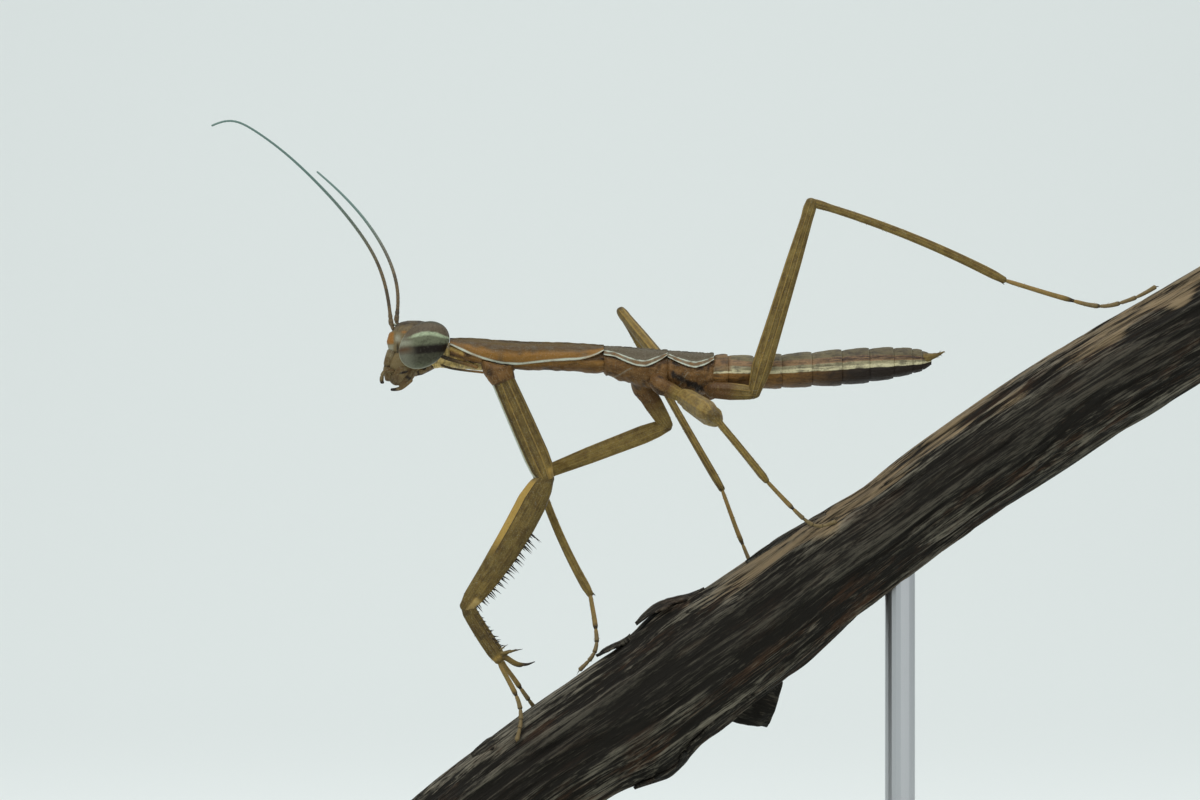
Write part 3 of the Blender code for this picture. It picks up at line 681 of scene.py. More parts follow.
def eye_finish(tones, crown, facet):
    """Compound eye: bands by height that fade into the crown at the front, a pale rim,
    and a mosaic of facets."""
    finish = Finish("eye_facets")
    mottle = finish.mottle(2.2, 4.0)
    band = finish.mark("band") + 0.035 * (mottle - 0.5)
    # The last stop darkens the eye's upper rim: painted shade along the top contour.
    finish.shown = finish.shades(band, (
        (0.00, tones.green), (0.22, tones.low), (0.31, tones.low), (0.35, tones.band),
        (0.465, tones.band), (0.53, tones.green), (0.67, tones.green), (0.715, tones.arch),
        (0.750, tones.arch), (0.785, tones.top), (0.92, tones.top), (0.97, tones.low)))
    speck = finish.mottle(5.0, 4.0, 0.7)
    finish.lay(finish.step(speck, 0.50, 0.68) * 0.50, tones.band)
    finish.lay(finish.step(speck, 0.46, 0.30) * 0.10, tones.rim)
    front = finish.mark("front")
    finish.lay(front * finish.step(band, 0.60, 0.68) * 0.9, crown)
    finish.lay(front * finish.comb(band, (0.57,), 0.09) * 0.8, tones.rim)
    finish.lay(finish.mark("pale"), tones.rim)
    finish.lay(front * finish.comb(band, (0.43,), 0.11) * 0.9, tones.red)
    mosaic = finish.node("ShaderNodeTexVoronoi", None, {"Vector": finish.place(), "Scale": 1.0 / facet},
                         output="Distance")
    finish.lay(finish.step(mosaic, 0.42, 0.72) * 0.22, tones.band)
    finish.relief(1.0 - mosaic, 0.012, 0.5)
    return finish.surface(roughness=0.50, specular_ior_level=0.12, coat_weight=0.03, coat_roughness=0.25)


def feeler_finish(root, tip, dark):
    """Ringed thread that pales and greys from its root to its tip."""
    finish = Finish("feeler_rings", root)
    share = finish.mark("share") + 0.10 * (finish.mottle(0.9) - 0.5)
    finish.lay(finish.step(share, 0.12, 0.60), tip)
    finish.lay(finish.mark("dark") * 0.75, dark)
    finish.relief(finish.mottle(14.0), 0.015)
    return finish.surface(roughness=0.45)


def skin_finish(tone, shade):
    """Soft joint skin with fine creases across it."""
    finish = Finish("soft_skin", shade)
    crease = finish.grain((7.0, 1.4, 1.4), 1.2, 3.0)
    mottle = finish.mottle(2.4, 3.0)
    finish.lay(finish.step(crease * 0.5 + mottle * 0.5, 0.36, 0.62), tone)
    finish.lay(finish.mark("dark"), shade)
    finish.relief(crease, 0.05)
    return finish.surface(roughness=0.5, coat_weight=0.1)


def bark_finish(perch):
    """Weathered bark: dark in the furrows, grey on the crests, tan where it is worn
    along the top, red-brown in patches, and pale rings on the sawn ends. The grey of the
    crests fades in a band round the middle of the sides, partly painted shade."""
    finish = Finish("weathered_bark", perch.groove)
    fine = finish.grain((0.024, 1.0, 1.0), 2.6, 4.0, 0.6)
    hair = finish.grain((0.014, 1.0, 1.0), 7.0, 3.0, 0.7)
    patch = finish.grain((0.3, 1.0, 1.0), 0.5, 5.0, 0.65)
    height = finish.mark("height")
    zone = finish.mark("zone")
    grit = finish.grain((0.22, 1.0, 1.0), 3.4, 6.0, 0.7)
    crest = height * 0.55 + 2.0 * (fine - 0.5) + 1.6 * (hair - 0.5) + 1.5 * (grit - 0.5)
    # The grey of the crests is held back where this mark is low: partly darker bark, partly painted
    # shade along the middle of the sides.
    finish.lay(finish.step(crest, 0.15, 0.95) * (0.20 + 0.80 * zone), perch.ridge)
    russet = np.multiply(perch.tan, (0.42, 0.26, 0.20))
    share = finish.step(patch + 0.5 * (hair - 0.5), 0.50, 0.70)
    finish.lay(share * (0.08 + 0.42 * finish.mark("russet")), russet)
    bare = finish.mark("warm") + 1.6 * (fine - 0.5) + 1.2 * (hair - 0.5)
    finish.lay(finish.step(bare, 0.45, 1.05), perch.tan)
    rings = finish.noise(finish.vector_mark("ring", (2.6, 0.12, 0.12)), 1.6, 3.0)
    sawn = finish.mix(finish.step(rings, 0.36, 0.66), perch.tan, perch.wood)
    finish.lay(finish.mark("pale"), sawn)
    finish.lay(finish.mark("dark"), perch.groove)
    finish.relief(fine * 0.4 + hair * 0.3 + grit * 0.3, 0.60)
    return finish.surface(roughness=0.80 + 0.2 * (fine - 0.5), specular_ior_level=0.2)


def paint_finish(tone):
    """Powder coat with a fine orange peel."""
    finish = Finish("pale_powder_coat", tone)
    peel = finish.mottle(2.2, 2.0)
    finish.relief(peel, 0.02, 0.6)
    finish.lay(0.08 * peel, (0.0, 0.0, 0.0))
    return finish.surface(roughness=0.46 + 0.14 * (peel - 0.5))


def steel_finish(tone):
    """Satin steel, brushed round the rod."""
    finish = Finish("satin_steel", tone)
    lines = finish.grain((14.0, 0.4, 0.4), 1.5, 3.0)
    finish.relief(lines, 0.006)
    finish.lay(0.12 * lines, (0.1, 0.1, 0.1))
    return finish.surface(metallic=1.0, roughness=0.26 + 0.20 * lines)


# ------------------------------------------------------------------ head

def level_form(heights, fronts, backs, half_widths, columns, power, relief):
    """Points of a form built from level sections, each a superellipse between a front
    and a back. relief(x, y, z) lifts the surface outward, in millimetres."""
    turn = once_round(columns)
    wide, deep = power_wave(cosd(turn), power), power_wave(sind(turn), power)
    x = (backs + fronts)[:, None] / 2.0 - (backs - fronts)[:, None] / 2.0 * wide
    y = half_widths[:, None] * deep
    z = np.broadcast_to(heights[:, None], x.shape)
    lift = relief(x, y, z)
    return spread(x - lift * wide, y + lift * deep, z)


def head_surface():
    """Head capsule: crown, brow shield, cheeks and the back of the head. Its sections
    narrow to the crown and to the mouth, and its front swells at the brow shield."""
    low, high = node_box("head_capsule")
    front, back, tall = low[0], high[0], high[2] - low[2]
    share = np.sin(np.linspace(0.0, math.pi / 2.0, 72)) ** 0.9
    table = (
        # share of the height, front, back (both in from the box), half width
        (0.00, 0.15, 1.30, 0.95), (0.14, 0.05, 0.95, 1.30), (0.28, 0.22, 0.45, 1.62),
        (0.37, 0.42, 0.20, 1.74), (0.44, 0.30, 0.10, 1.80), (0.60, 0.12, 0.05, 1.84),
        (0.74, 0.28, 0.05, 1.80), (0.86, 0.55, 0.20, 1.62), (0.94, 0.85, 0.45, 1.32),
        (0.98, 1.20, 0.80, 0.95), (1.00, 1.75, 1.45, 0.35))
    inset, behind, half = reading(share, table, 0.012)

    def at(part):
        return low[2] + part * tall

    brow = at(0.60)

    def facing(x, start, end):
        return ramp(x, front + start, front + end)

    def relief(x, y, z):
        ahead, side = facing(x, 1.3, 0.5), np.abs(y)
        shield = ahead * ramp(side, 1.05, 0.80) * ramp(np.abs(z - brow), 0.88, 0.70)
        furrow = bump(side, 0.55, 0.07) * ramp(z, at(0.80), high[2])
        dent = bump(z, at(0.40), 0.10) * ahead
        temple = bump(side, 1.25, 0.16) * ahead * ramp(z, brow - 1.1, brow - 0.5)
        return 0.14 * shield - 0.05 * furrow - 0.10 * dent - 0.07 * temple

    points = level_form(at(share), front + inset, back - behind, half, 112, 2.25, relief)
    x, y, z = np.moveaxis(points, -1, 0)
    side = np.abs(y)
    shield = facing(x, 0.90, 0.62) * ramp(np.abs(z - brow), 0.95, 0.74)
    spot = bump(x, front + 1.42, 0.26) * bump(z, at(0.78), 0.15)
    strip = bump(x, front + 0.92, 0.13) * bump(z, brow - 0.45, 0.45)
    seam = bump(z, at(0.40), 0.05) * facing(x, 1.25, 0.55)
    furrow = bump(side, 0.55, 0.06) * ramp(z, at(0.85), high[2])
    temple = bump(x, front + 0.95, 0.36) * bump(z, at(0.66), 0.42) * ramp(side, 0.7, 1.1)
    ahead = facing(x, 0.78, 0.42)
    amber = ahead * ramp(z, brow - 0.35, brow - 0.05) * ramp(z, brow + 0.90, brow + 0.60)
    under = ahead * ramp(z, brow - 0.05, brow - 0.35) * ramp(z, brow - 1.0, brow - 0.8)
    crown = ramp(z, at(0.70), at(0.88))
    # Darker along the top of the head: painted shade at the top contour.
    top = 0.55 * ramp(z, high[2] - 0.75, high[2] - 0.25)
    return woven(points, fibre=points - points.mean(1, keepdims=True),
                 warm=np.clip(0.85 * amber + 0.2 * shield + 0.8 * spot, 0, 1),
                 dark=np.clip(0.85 * strip + 0.8 * seam + 0.6 * furrow + top, 0.0, 0.9),
                 stripe=(1.0 - crown) * (1.0 - np.maximum(amber, spot)),
                 pale=0.52 * temple + 0.45 * under + 0.2 * bump(side, 0.95, 0.12) * crown)


def eye_surface(name, side):
    """A compound eye: an ellipsoid tilted in the side view, flatter on its inner side.
    The mark band is the height across the eye plus, in its upper part, a share of
    the distance from its middle squared, which arches the bands there."""
    low, high = node_box(name)
    centre = (low + high) / 2.0
    flat, outer = sorted((abs(low[1]), abs(high[1])))
    level = flat - 0.2
    tilt, long_half, across_half = math.radians(41.0), 2.20, 1.66
    polar = np.linspace(0.0, math.pi, 72)[:, None]
    around = np.radians(once_round(96))
    out = np.cos(polar)
    along = np.sin(polar) * np.cos(around)
    across = np.sin(polar) * np.sin(around)
    depth = np.where(out > 0.0, (outer - level) * out, 1.15 * out)
    x = centre[0] + long_half * along * math.cos(tilt) - across_half * across * math.sin(tilt)
    z = centre[2] + long_half * along * math.sin(tilt) + across_half * across * math.cos(tilt)
    points = spread(x, side * (level + depth), z)
    ahead, rise = x - centre[0], z - centre[2]
    arch = 0.19 * (ahead - 0.36) ** 2 * ramp(rise, 0.1, 0.8) - 0.08 * ahead * ramp(rise, 0.6, 0.0)
    below = ramp(-ahead - 1.2 * rise, -0.2, 1.6)
    pale = 0.85 * ramp(1.0 - out, 0.66, 0.92) * below + 0.45 * below * ramp(-ahead, 0.2, 1.6)
    return woven(points, band=np.clip(0.5 + (rise + arch) / 4.0, 0.0, 1.0), pale=pale,
                 front=ramp(-ahead, 0.5, 1.5), fibre=points - centre)


def small_eyes(front, middle):
    """Three simple eyes in a triangle between the feelers, as low domes."""
    rise = np.linspace(0.02, math.pi - 0.02, 12)[:, None]
    turn = np.radians(once_round(16))
    ball = spread(np.cos(rise), np.sin(rise) * np.cos(turn), np.sin(rise) * np.sin(turn))
    return [woven(np.array([front, y, middle + z]) + radius * ball, pale=0.8, fibre=ball)
            for y, z, radius in ((0.0, -0.10, 0.14), (0.30, 0.22, 0.12), (-0.30, 0.22, 0.12))]


def bent(points, count=30):
    """A smooth path through a few points: a Catmull-Rom curve, evenly spaced."""
    knots = np.asarray(points, float)
    knots = np.concatenate([[2 * knots[0] - knots[1]], knots, [2 * knots[-1] - knots[-2]]])
    t = np.linspace(0.0, 1.0, 24, endpoint=False)[:, None]
    spans = []
    for before, start, end, after in zip(knots, knots[1:], knots[2:], knots[3:]):
        spans.append(0.5 * (2 * start + (end - before) * t
                            + (2 * before - 5 * start + 4 * end - after) * t ** 2
                            + (3 * start - before - 3 * end + after) * t ** 3))
    return resample(np.concatenate([*spans, knots[-2:-1]]), count)


def mouth_surfaces():
    """Lip shield, jaws, jaw covers and the lower lip with its hooked feelers."""
    low, high = node_box("mouthparts")
    front, top = low[0], high[2]
    upper, under = np.array([front, 0.0, top]), np.array([front, 0.0, low[2]])
    lip = upper + [(0.50, 0.0, 1.80), (0.30, 0.0, 1.15), (0.20, 0.0, 0.45), (0.34, 0.0, -0.30)]
    parts = [tube(bent(lip), ACROSS, 0.30, 0.55, np.linspace(1.05, 0.62, 30), power=2.6, blunt=0.5,
                  relief=lambda share, turn: 1.0 - 0.10 * bump(share, 0.55, 0.05),
                  marks=lambda share, turn: {"dark": 0.7 * bump(share, 0.55, 0.03),
                                             "pale": 0.2 * ramp(share, 0.6, 0.0)})]
    for side in (-1.0, 1.0):
        hand = [1.0, side, 1.0]
        jaw = upper + np.multiply([(1.7, 0.95, 0.85), (1.05, 1.05, 0.1), (0.55, 0.55, -0.45)], hand)
        blade = tube(bent(jaw), ACROSS, 0.50, 0.45, np.linspace(0.34, 0.16, 30), power=2.4,
                     marks=lambda share, turn: {"dark": 0.4 * ramp(share, 0.7, 1.0),
                                                "pale": 0.3 * bump(turn, 90.0, 40.0)})
        x, _, z = blade.points.T
        # A dark slit across each jaw blade: painted shade in a slit of the mouthparts.
        slit = bump(x, front + 1.35, 0.36) * bump(z - 0.25 * (x - front - 1.35), top + 0.18, 0.09)
        blade.marks["dark"] = np.maximum(blade.marks["dark"], 1.4 * slit)
        cover = upper + np.multiply([(2.1, 0.75, 0.55), (1.6, 0.8, -0.15), (1.1, 0.45, -0.70)], hand)
        hook = np.concatenate([upper + [(1.80, side * 0.35, -0.40)], under + np.multiply(
            [(1.45, 0.38, 0.42), (1.08, 0.36, 0.12), (0.68, 0.32, 0.0), (0.34, 0.30, -0.02)], hand)])
        parts += [blade, tube(bent(cover), ACROSS, 0.36, 0.34, np.linspace(0.36, 0.20, 30),
                              marks=lambda share, turn: {"dark": 0.30 + 0.5 * bump(share, 0.5, 0.07),
                                                         "warm": 0.25 * ramp(share, 0.4, 0.8)}),
                  tube(bent(hook), ACROSS, *(np.linspace(0.24, 0.11, 30),) * 3, around=16,
                       marks=lambda share, turn: {"dark": ramp(share, 0.66, 0.92),
                                                  "warm": 0.35 * (1.0 - share)})]
    chin = np.concatenate([upper + [(2.45, 0.0, 0.55), (1.85, 0.0, -0.12)], under + [(1.28, 0.0, 0.45)]])
    throat = upper + [(2.0, 0.0, 0.20), (2.75, 0.0, 0.32), (3.55, 0.0, 0.72)]
    for line, radii, deep in ((chin, (0.30, 0.26), (0.72, 0.35)), (throat, (0.34, 0.30), (0.80, 0.60))):
        radius = np.linspace(*radii, 30)
        parts.append(tube(bent(line), ACROSS, radius, radius, np.linspace(*deep, 30),
                          relief=lambda share, turn: 0.9 + 0.2 * patches(65, 7, 12, share, turn / 360.0),
                          marks=lambda share, turn: {
                              "warm": 0.15,
                              "dark": 0.8 * ramp(patches(66, 7, 12, share, turn / 360.0), 0.6, 0.8)}))
    return parts


def palp_surface(name, side):
    """A jointed mouth feeler of three lengths, darkest at its blunt tip."""
    low, high = node_box(name)
    start, middle, top = low[0], (low[1] + high[1]) / 2.0, high[2]
    path = bent(((start + 1.05, middle - side * 0.15, top + 0.28), (start + 0.50, middle, top + 0.30),
                 (start + 0.20, middle, top - 0.02), (start + 0.12, middle, (low[2] + top) / 2.0),
                 (start + 0.17, middle - side * 0.04, low[2] + 0.22)), 48)
    share = even(48)
    waist = 1.0 - 0.30 * (bump(share, 0.36, 0.035) + bump(share, 0.68, 0.035))
    radius = 0.15 * waist * (1.05 - 0.25 * share)
    return tube(path, ACROSS, radius, radius, radius, around=18,
                marks=lambda share, turn: {"dark": 0.75 * ramp(share, 0.78, 1.0),
                                           "pale": 0.15 * bump(share, 0.6, 0.25)})


def feeler_surfaces(word, side, width, ring):
    """One feeler: a thick root joint, a short second joint, then a tapering thread of
    rings. The thread's radius dips at each ring's end."""
    first, second = f"antenna_{word}_1", f"antenna_{word}_2"
    seam = joint(first, second)
    root = far_end(first, seam)
    line = np.concatenate([centre_line(first, root), centre_line(second, seam)[1:]])
    line = soften(ending_at(line, far_end(second, seam), 0.3), 12)
    line = np.concatenate([[line[0] + unit(line[0] - line[3]) * 0.5 + [0.12, 0.0, 0.0]], line])
    reach = np.linalg.norm(np.diff(line, axis=0), axis=1).sum()
    path = resample(line, int(reach / ring) * 5 + 1)
    share = even(len(path))
    along = share * reach
    phase = (np.arange(len(path)) % 5) / 5.0
    thread = width / 2.0 * (1.0 - 0.45 * ramp(share, 0.0, 1.1))
    thread = thread * (1.0 + 0.09 * np.sin(phase * math.pi))
    joints = (0.20 - width / 2.0) * bump(along, 0.60, 0.28) + 0.03 * bump(along, 1.1, 0.14)
    radius = thread + joints
    groove = (phase < 0.1) * 0.8 * ramp(share, 1.1, 0.2)
    freckle = patches(31 + int(side), 40, 3, share, 0.0) > 0.62
    dark = np.clip(groove + 0.7 * freckle * ramp(share, 0.55, 0.1), 0.0, 1.0)
    dark = dark[rounded(path)][:, None]

    def marks(share, turn):
        return {"dark": dark, "share": share}

    return [tube(path, ACROSS, radius, radius, radius, around=12, marks=marks)]


# ------------------------------------------------------------------ legs

# Outlines of the limbs: share of the length, then half widths towards the outer and
# the inner side of the leg's bend, and half depth
LIMBS = {
    "foreleg_coxa": ((0.00, 0.74, 0.66, 0.54), (0.12, 0.88, 0.80, 0.60),
                     (0.50, 0.92, 0.90, 0.62), (0.80, 0.92, 0.94, 0.58),
                     (0.93, 0.84, 0.86, 0.54), (1.00, 0.62, 0.62, 0.48)),
    "foreleg_femur": ((0.00, 0.62, 0.66, 0.46), (0.06, 0.98, 0.86, 0.52),
                      (0.18, 1.20, 1.04, 0.58), (0.35, 1.14, 1.10, 0.60),
                      (0.60, 1.02, 1.06, 0.56), (0.84, 0.82, 0.86, 0.48),
                      (0.94, 0.72, 0.70, 0.46), (1.00, 0.52, 0.50, 0.40)),
    "foreleg_tibia": ((0.00, 0.40, 0.38, 0.34), (0.10, 0.50, 0.44, 0.38),
                      (0.45, 0.48, 0.50, 0.38), (0.85, 0.46, 0.54, 0.38),
                      (1.00, 0.36, 0.42, 0.34)),
    "midleg_coxa": ((0.00, 0.72, 0.72, 0.60), (0.45, 0.70, 0.70, 0.58),
                    (0.80, 0.60, 0.58, 0.50), (1.00, 0.48, 0.48, 0.44)),
    "midleg_femur": ((0.00, 0.48, 0.48, 0.42), (0.06, 0.62, 0.60, 0.48),
                     (0.18, 0.72, 0.70, 0.52), (0.60, 0.66, 0.64, 0.48),
                     (0.90, 0.52, 0.52, 0.42), (0.96, 0.58, 0.56, 0.46),
                     (1.00, 0.46, 0.44, 0.38)),
    "midleg_femur_left": ((0.00, 0.56, 0.60, 0.56), (0.12, 0.80, 0.92, 0.74),
                          (0.50, 0.92, 1.10, 0.80), (0.82, 0.98, 1.16, 0.84),
                          (0.94, 0.80, 0.95, 0.72), (1.00, 0.46, 0.52, 0.46)),
    "midleg_tibia": ((0.00, 0.30, 0.30, 0.28), (0.04, 0.36, 0.34, 0.30),
                     (0.12, 0.29, 0.29, 0.27), (0.60, 0.31, 0.31, 0.28),
                     (0.94, 0.34, 0.34, 0.30), (1.00, 0.27, 0.27, 0.25)),
    "hindleg_coxa": ((0.00, 0.62, 0.62, 0.55), (0.45, 0.66, 0.66, 0.58),
                     (0.80, 0.60, 0.56, 0.52), (1.00, 0.48, 0.46, 0.44)),
    "hindleg_femur": ((0.00, 0.50, 0.50, 0.44), (0.05, 0.62, 0.60, 0.48),
                      (0.14, 0.78, 0.74, 0.54), (0.35, 0.69, 0.68, 0.52),
                      (0.70, 0.59, 0.58, 0.47), (0.92, 0.47, 0.46, 0.40),
                      (0.97, 0.56, 0.50, 0.44), (1.00, 0.46, 0.42, 0.38)),
    "hindleg_tibia": ((0.00, 0.32, 0.32, 0.30), (0.03, 0.38, 0.36, 0.32),
                      (0.09, 0.29, 0.29, 0.27), (0.50, 0.32, 0.32, 0.28),
                      (0.95, 0.35, 0.35, 0.30), (1.00, 0.28, 0.28, 0.26)),
}
# Bow of a limb towards the outer side of its leg's bend
BOWS = {"foreleg_femur": -0.28, "foreleg_tibia": 0.10, "midleg_tibia": 0.30, "hindleg_tibia": 0.42}
FOOT_JOINTS = (0.46, 0.63, 0.76, 0.87)      # shares of a foot's length
# Levels across a limb, from 0 at its inner edge to 1 at its outer one
KEELS = (0.03, 0.36, 0.64, 0.97)
SEAMS = (0.09, 0.42, 0.58, 0.91)


class Leg:
    """Joints, side axis and foot line of one leg, read from its four nodes."""

    def __init__(self, pair, hand):
        self.pair, self.hand = pair, hand
        self.seed = sum(map(ord, pair + hand))
        self.names = {part: f"{pair}_{part}_{hand}" for part in ("coxa", "femur", "tibia", "tarsus")}
        coxa, femur, tibia, tarsus = self.names.values()
        self.hip = joint(coxa, femur)
        self.knee = joint(femur, tibia)
        self.ankle = joint(tibia, tarsus)
        self.root = far_end(coxa, self.hip) + ([0.55, 0.0, 0.0] if pair == "foreleg" else 0.0)
        self.side = unit(np.cross(self.knee - self.hip, self.ankle - self.knee))
        self.ends = {"coxa": (self.root, self.hip), "femur": (self.hip, self.knee),
                     "tibia": (self.knee, self.ankle)}

    def outline(self, part):
        """The limb's own outline, or else that of both limbs of the pair."""
        return LIMBS.get(self.names[part], LIMBS[f"{self.pair}_{part}"])

    def path(self, part, count=72):
        """Middle line of a limb: straight plus a bow of 4 s (1 - s) towards the outside."""
        start, end = self.ends[part]
        share = even(count)[:, None]
        line = start + (end - start) * share
        outward = axes_along(line, self.side)[1]
        return line + outward * (4.0 * BOWS.get(f"{self.pair}_{part}", 0.0) * share * (1 - share))

    def limb(self, part, relief, marks):
        """One limb with its outline, a squared section, keels and marks."""
        path = self.path(part)
        outer, inner, depth = reading(even(len(path)), self.outline(part), 0.016)
        return tube(path, self.side, outer, inner, depth, 64, 0.8, relief, marks, power=2.4)

    def on(self, part, shares, turns, sink):
        """Points on a limb at shares of its length and turns round it, sunk in by a
        share of its width, with the directions along it and outward from its skin."""
        path = self.path(part, 120)
        along, outward, sideways = axes_along(path, self.side)
        pick = np.clip((np.asarray(shares) * 119).astype(int), 0, 119)
        outer, inner, depth = reading(np.asarray(shares, float), self.outline(part))
        cosine, sine = cosd(turns), sind(turns)
        across = np.where(cosine > 0, outer, inner) * cosine
        thick = depth * sine
        skin = unit(outward[pick] * cosine[:, None] + sideways[pick] * sine[:, None])
        points = path[pick] + outward[pick] * across[:, None] * (1 - sink)
        points = points + sideways[pick] * thick[:, None] * (1 - sink)
        return points, along[pick], skin

    def hairs(self, part, count, length):
        """Fine hairs scattered over a limb, leaning towards its end."""
        draw = np.random.default_rng(self.seed + len(part))
        shares, turns = draw.uniform(0.04, 0.97, count), draw.uniform(0.0, 360.0, count)
        points, along, skin = self.on(part, shares, turns, 0.08)
        lengths = length * draw.uniform(0.5, 1.1, count)
        return spines(points, skin + 1.1 * along, lengths, 0.035, along * 0.06, 3, 0.9)

    def spine_rows(self, part, first, last, count, long, short, width, turns, lean):
        """Spines in rows on a limb, the longest first. turns gives a turn per row."""
        shares = np.linspace(first, last, count)
        rows = []
        for row, turn in enumerate(turns):
            placed = shares + (0.5 * row / len(turns)) * (last - first) / count
            points, along, skin = self.on(part, placed, np.full(count, turn), 0.12)
            draw = np.random.default_rng(self.seed + row)
            lengths = np.interp(placed, (first, last), (long, short)) * draw.uniform(0.8, 1.1, count)
            lengths = lengths * (1.0 - 0.45 * ((np.arange(count) + row) % 2))
            tilt = lean + draw.uniform(-0.16, 0.16, count)[:, None]
            rows.append(spines(points, skin + tilt * along, lengths, width,
                               along * lengths[:, None] * 0.10, 7, -0.2))
        return rows

    def spurs(self, part, length, turns):
        """Two or more spurs at the end of a limb."""
        points, along, skin = self.on(part, np.full(len(turns), 0.985), turns, 0.3)
        return spines(points, along + 0.35 * skin, length, 0.12, skin * -0.03, 6)

    def foot(self, width):
        """A foot of five lengths that end in soft pads, and a pair of claws."""
        name = self.names["tarsus"]
        line = ending_at(centre_line(name, self.ankle, reach=0.8), far_end(name, self.ankle), 0.35)
        path = resample(soften(line, 4), 110)
        share = even(len(path))
        edges = np.array((0.0, *FOOT_JOINTS, 1.0))
        number = np.clip(np.searchsorted(edges, share, "right") - 1, 0, 4)
        inside = (share - edges[number]) / (edges[number + 1] - edges[number])
        waist = 0.42 * bump(inside, 1.0, 0.06) * (number < 4)
        half = width / 2.0 * (1.0 - 0.22 * share)
        half = half * (0.80 + 0.30 * inside ** 1.5 - waist - 0.20 * bump(inside, 0.0, 0.08))
        side = self.side if abs(unit(path[-1] - path[0]) @ self.side) < 0.9 else np.array([0.0, 0, 1])
        knot = (bump(inside, 1.0, 0.12) * (number < 4))[rounded(path)][:, None]

        def marks(share, turn):
            return {"dark": 0.85 * knot, "pale": 0.0, "stripe": ramp(share, 0.42, 0.6)}

        sole = tube(path, side, half, half, half * 0.92, 20, marks=marks)
        along, outward, sideways = axes_along(path, side)
        down = unit(path[-1] - path[-12])
        headings = down + np.array([[1.0], [-1.0]]) * sideways[-1] * 0.55
        claws = spines(np.repeat(path[-1:], 2, 0), headings, 0.42, 0.11,
                       np.tile(down * 0.05 - [0, 0, 0.14], (2, 1)), 6)
        draw = np.random.default_rng(self.seed)
        count = 34
        pick = draw.integers(4, 108, count)
        angle = draw.uniform(0.0, 2.0 * math.pi, count)[:, None]
        skin = outward[pick] * np.cos(angle) + sideways[pick] * np.sin(angle)
        hairs = spines(path[pick] + skin * half[pick][:, None] * 0.9, skin + along[pick] * 1.2,
                       draw.uniform(0.10, 0.2, count), 0.03, along[pick] * 0.02, 3, 0.9)
        return [sole, claws, hairs]

    def claw(self, turn):
        """The hooked claw at the end of a grasping tibia, with three spines beside it."""
        along, outward, sideways = axes_along(self.path("tibia"), self.side)
        angle = math.radians(turn)
        along = along[-1]
        inward = -outward[-1] * math.cos(angle) + sideways[-1] * math.sin(angle)
        across = np.cross(along, inward)
        table = np.array(((-0.65, 0.18, 0.24), (0.25, 0.60, 0.25), (1.10, 1.02, 0.19),
                          (1.62, 1.60, 0.13), (1.84, 2.25, 0.035)))
        path = bent(self.ankle + table[:, :1] * along + table[:, 1:2] * inward, 40)
        radius = np.interp(even(40), even(5), table[:, 2])

        def marks(share, turn):
            return {"dark": 0.28 + 0.7 * ramp(share, 0.5, 0.9), "warm": 0.3 * ramp(share, 0.1, 0.4)}

        hook = tube(path, across, radius, radius, radius * 0.85, 20, blunt=1.0, marks=marks)
        roots = [self.ankle + along * ahead + inward * deep + across * aside for ahead, deep, aside
                 in ((-0.30, 0.42, 0.16), (-0.05, 0.45, -0.18), (-0.55, 0.42, -0.05))]
        headings = [inward * 0.9 + along * 0.35, inward + along * 0.1, inward - along * 0.1]
        thorns = spines(np.array(roots), np.array(headings), (1.80, 1.30, 0.95), (0.30, 0.24, 0.19),
                        np.tile(along * 0.10, (3, 1)), 8, 0.5)
        thorns.marks["dark"] = 0.25 + 0.75 * thorns.marks["dark"]
        thorns.marks["warm"] = 0.4 - 0.4 * thorns.marks["dark"]
        return [hook, thorns]


# ------------------------------------------------------------------ trunk

def sections(name, count=24):
    """Sections of a node across the body: place along it, half width, bottom, top."""
    points, edges = node_mesh(name)
    low, high = points.min(0), points.max(0)
    rows = []
    for place in np.linspace(low[0] + 0.02, high[0] - 0.02, count):
        found = cut(points, edges, np.array([place, 0.0, 0.0]), np.array([1.0, 0.0, 0.0]))
        rows.append((place, np.abs(found[:, 1]).max(), found[:, 2].min(), found[:, 2].max()))
    return np.array(rows)


def segment(upper, lower, count):
    """Sections of a thorax segment, from its two nodes: place, half width, belly,
    back, and the height of the margin between them."""
    plate, wall = sections(upper), sections(lower)
    places = np.linspace(plate[0, 0] - 0.07, plate[-1, 0] + 0.07, count)

    def at(rows, column):
        return soften(np.interp(places, rows[:, 0], rows[:, column]), 3)

    half = np.maximum(at(plate, 1), at(wall, 1))
    return places, half, at(wall, 2), at(plate, 3), at(plate, 2)


def arched(places, half, middle, tall, angle, lift):
    """Points of elliptical sections across the body, lifted off their outlines."""
    y = (half[:, None] + lift) * np.cos(angle)
    return spread(places[:, None], y, middle[:, None] + (tall[:, None] + lift) * np.sin(angle))


def plate(outer, inner, **marks):
    """A thin closed plate between two grids of points, stitched along all four edges."""
    rows, columns = outer.shape[:2]
    below = rows * columns
    index = np.arange(below).reshape(rows, columns)
    quads = np.stack([index[:-1, :-1], index[:-1, 1:], index[1:, 1:], index[1:, :-1]], -1).reshape(-1, 4)
    rim = np.concatenate([index[0, :-1], index[:-1, -1], index[-1, :0:-1], index[:0:-1, 0]])
    following = np.roll(rim, -1)
    sides = np.stack([following, rim, rim + below, following + below], 1)
    marks = {name: np.concatenate([value] * 2)
             for name, value in flattened(marks, rows, columns).items()}
    return Surface(np.concatenate([outer.reshape(-1, 3), inner.reshape(-1, 3)]),
                   np.concatenate([quads, quads[:, ::-1] + below, sides]), np.empty((0, 3), int), marks)


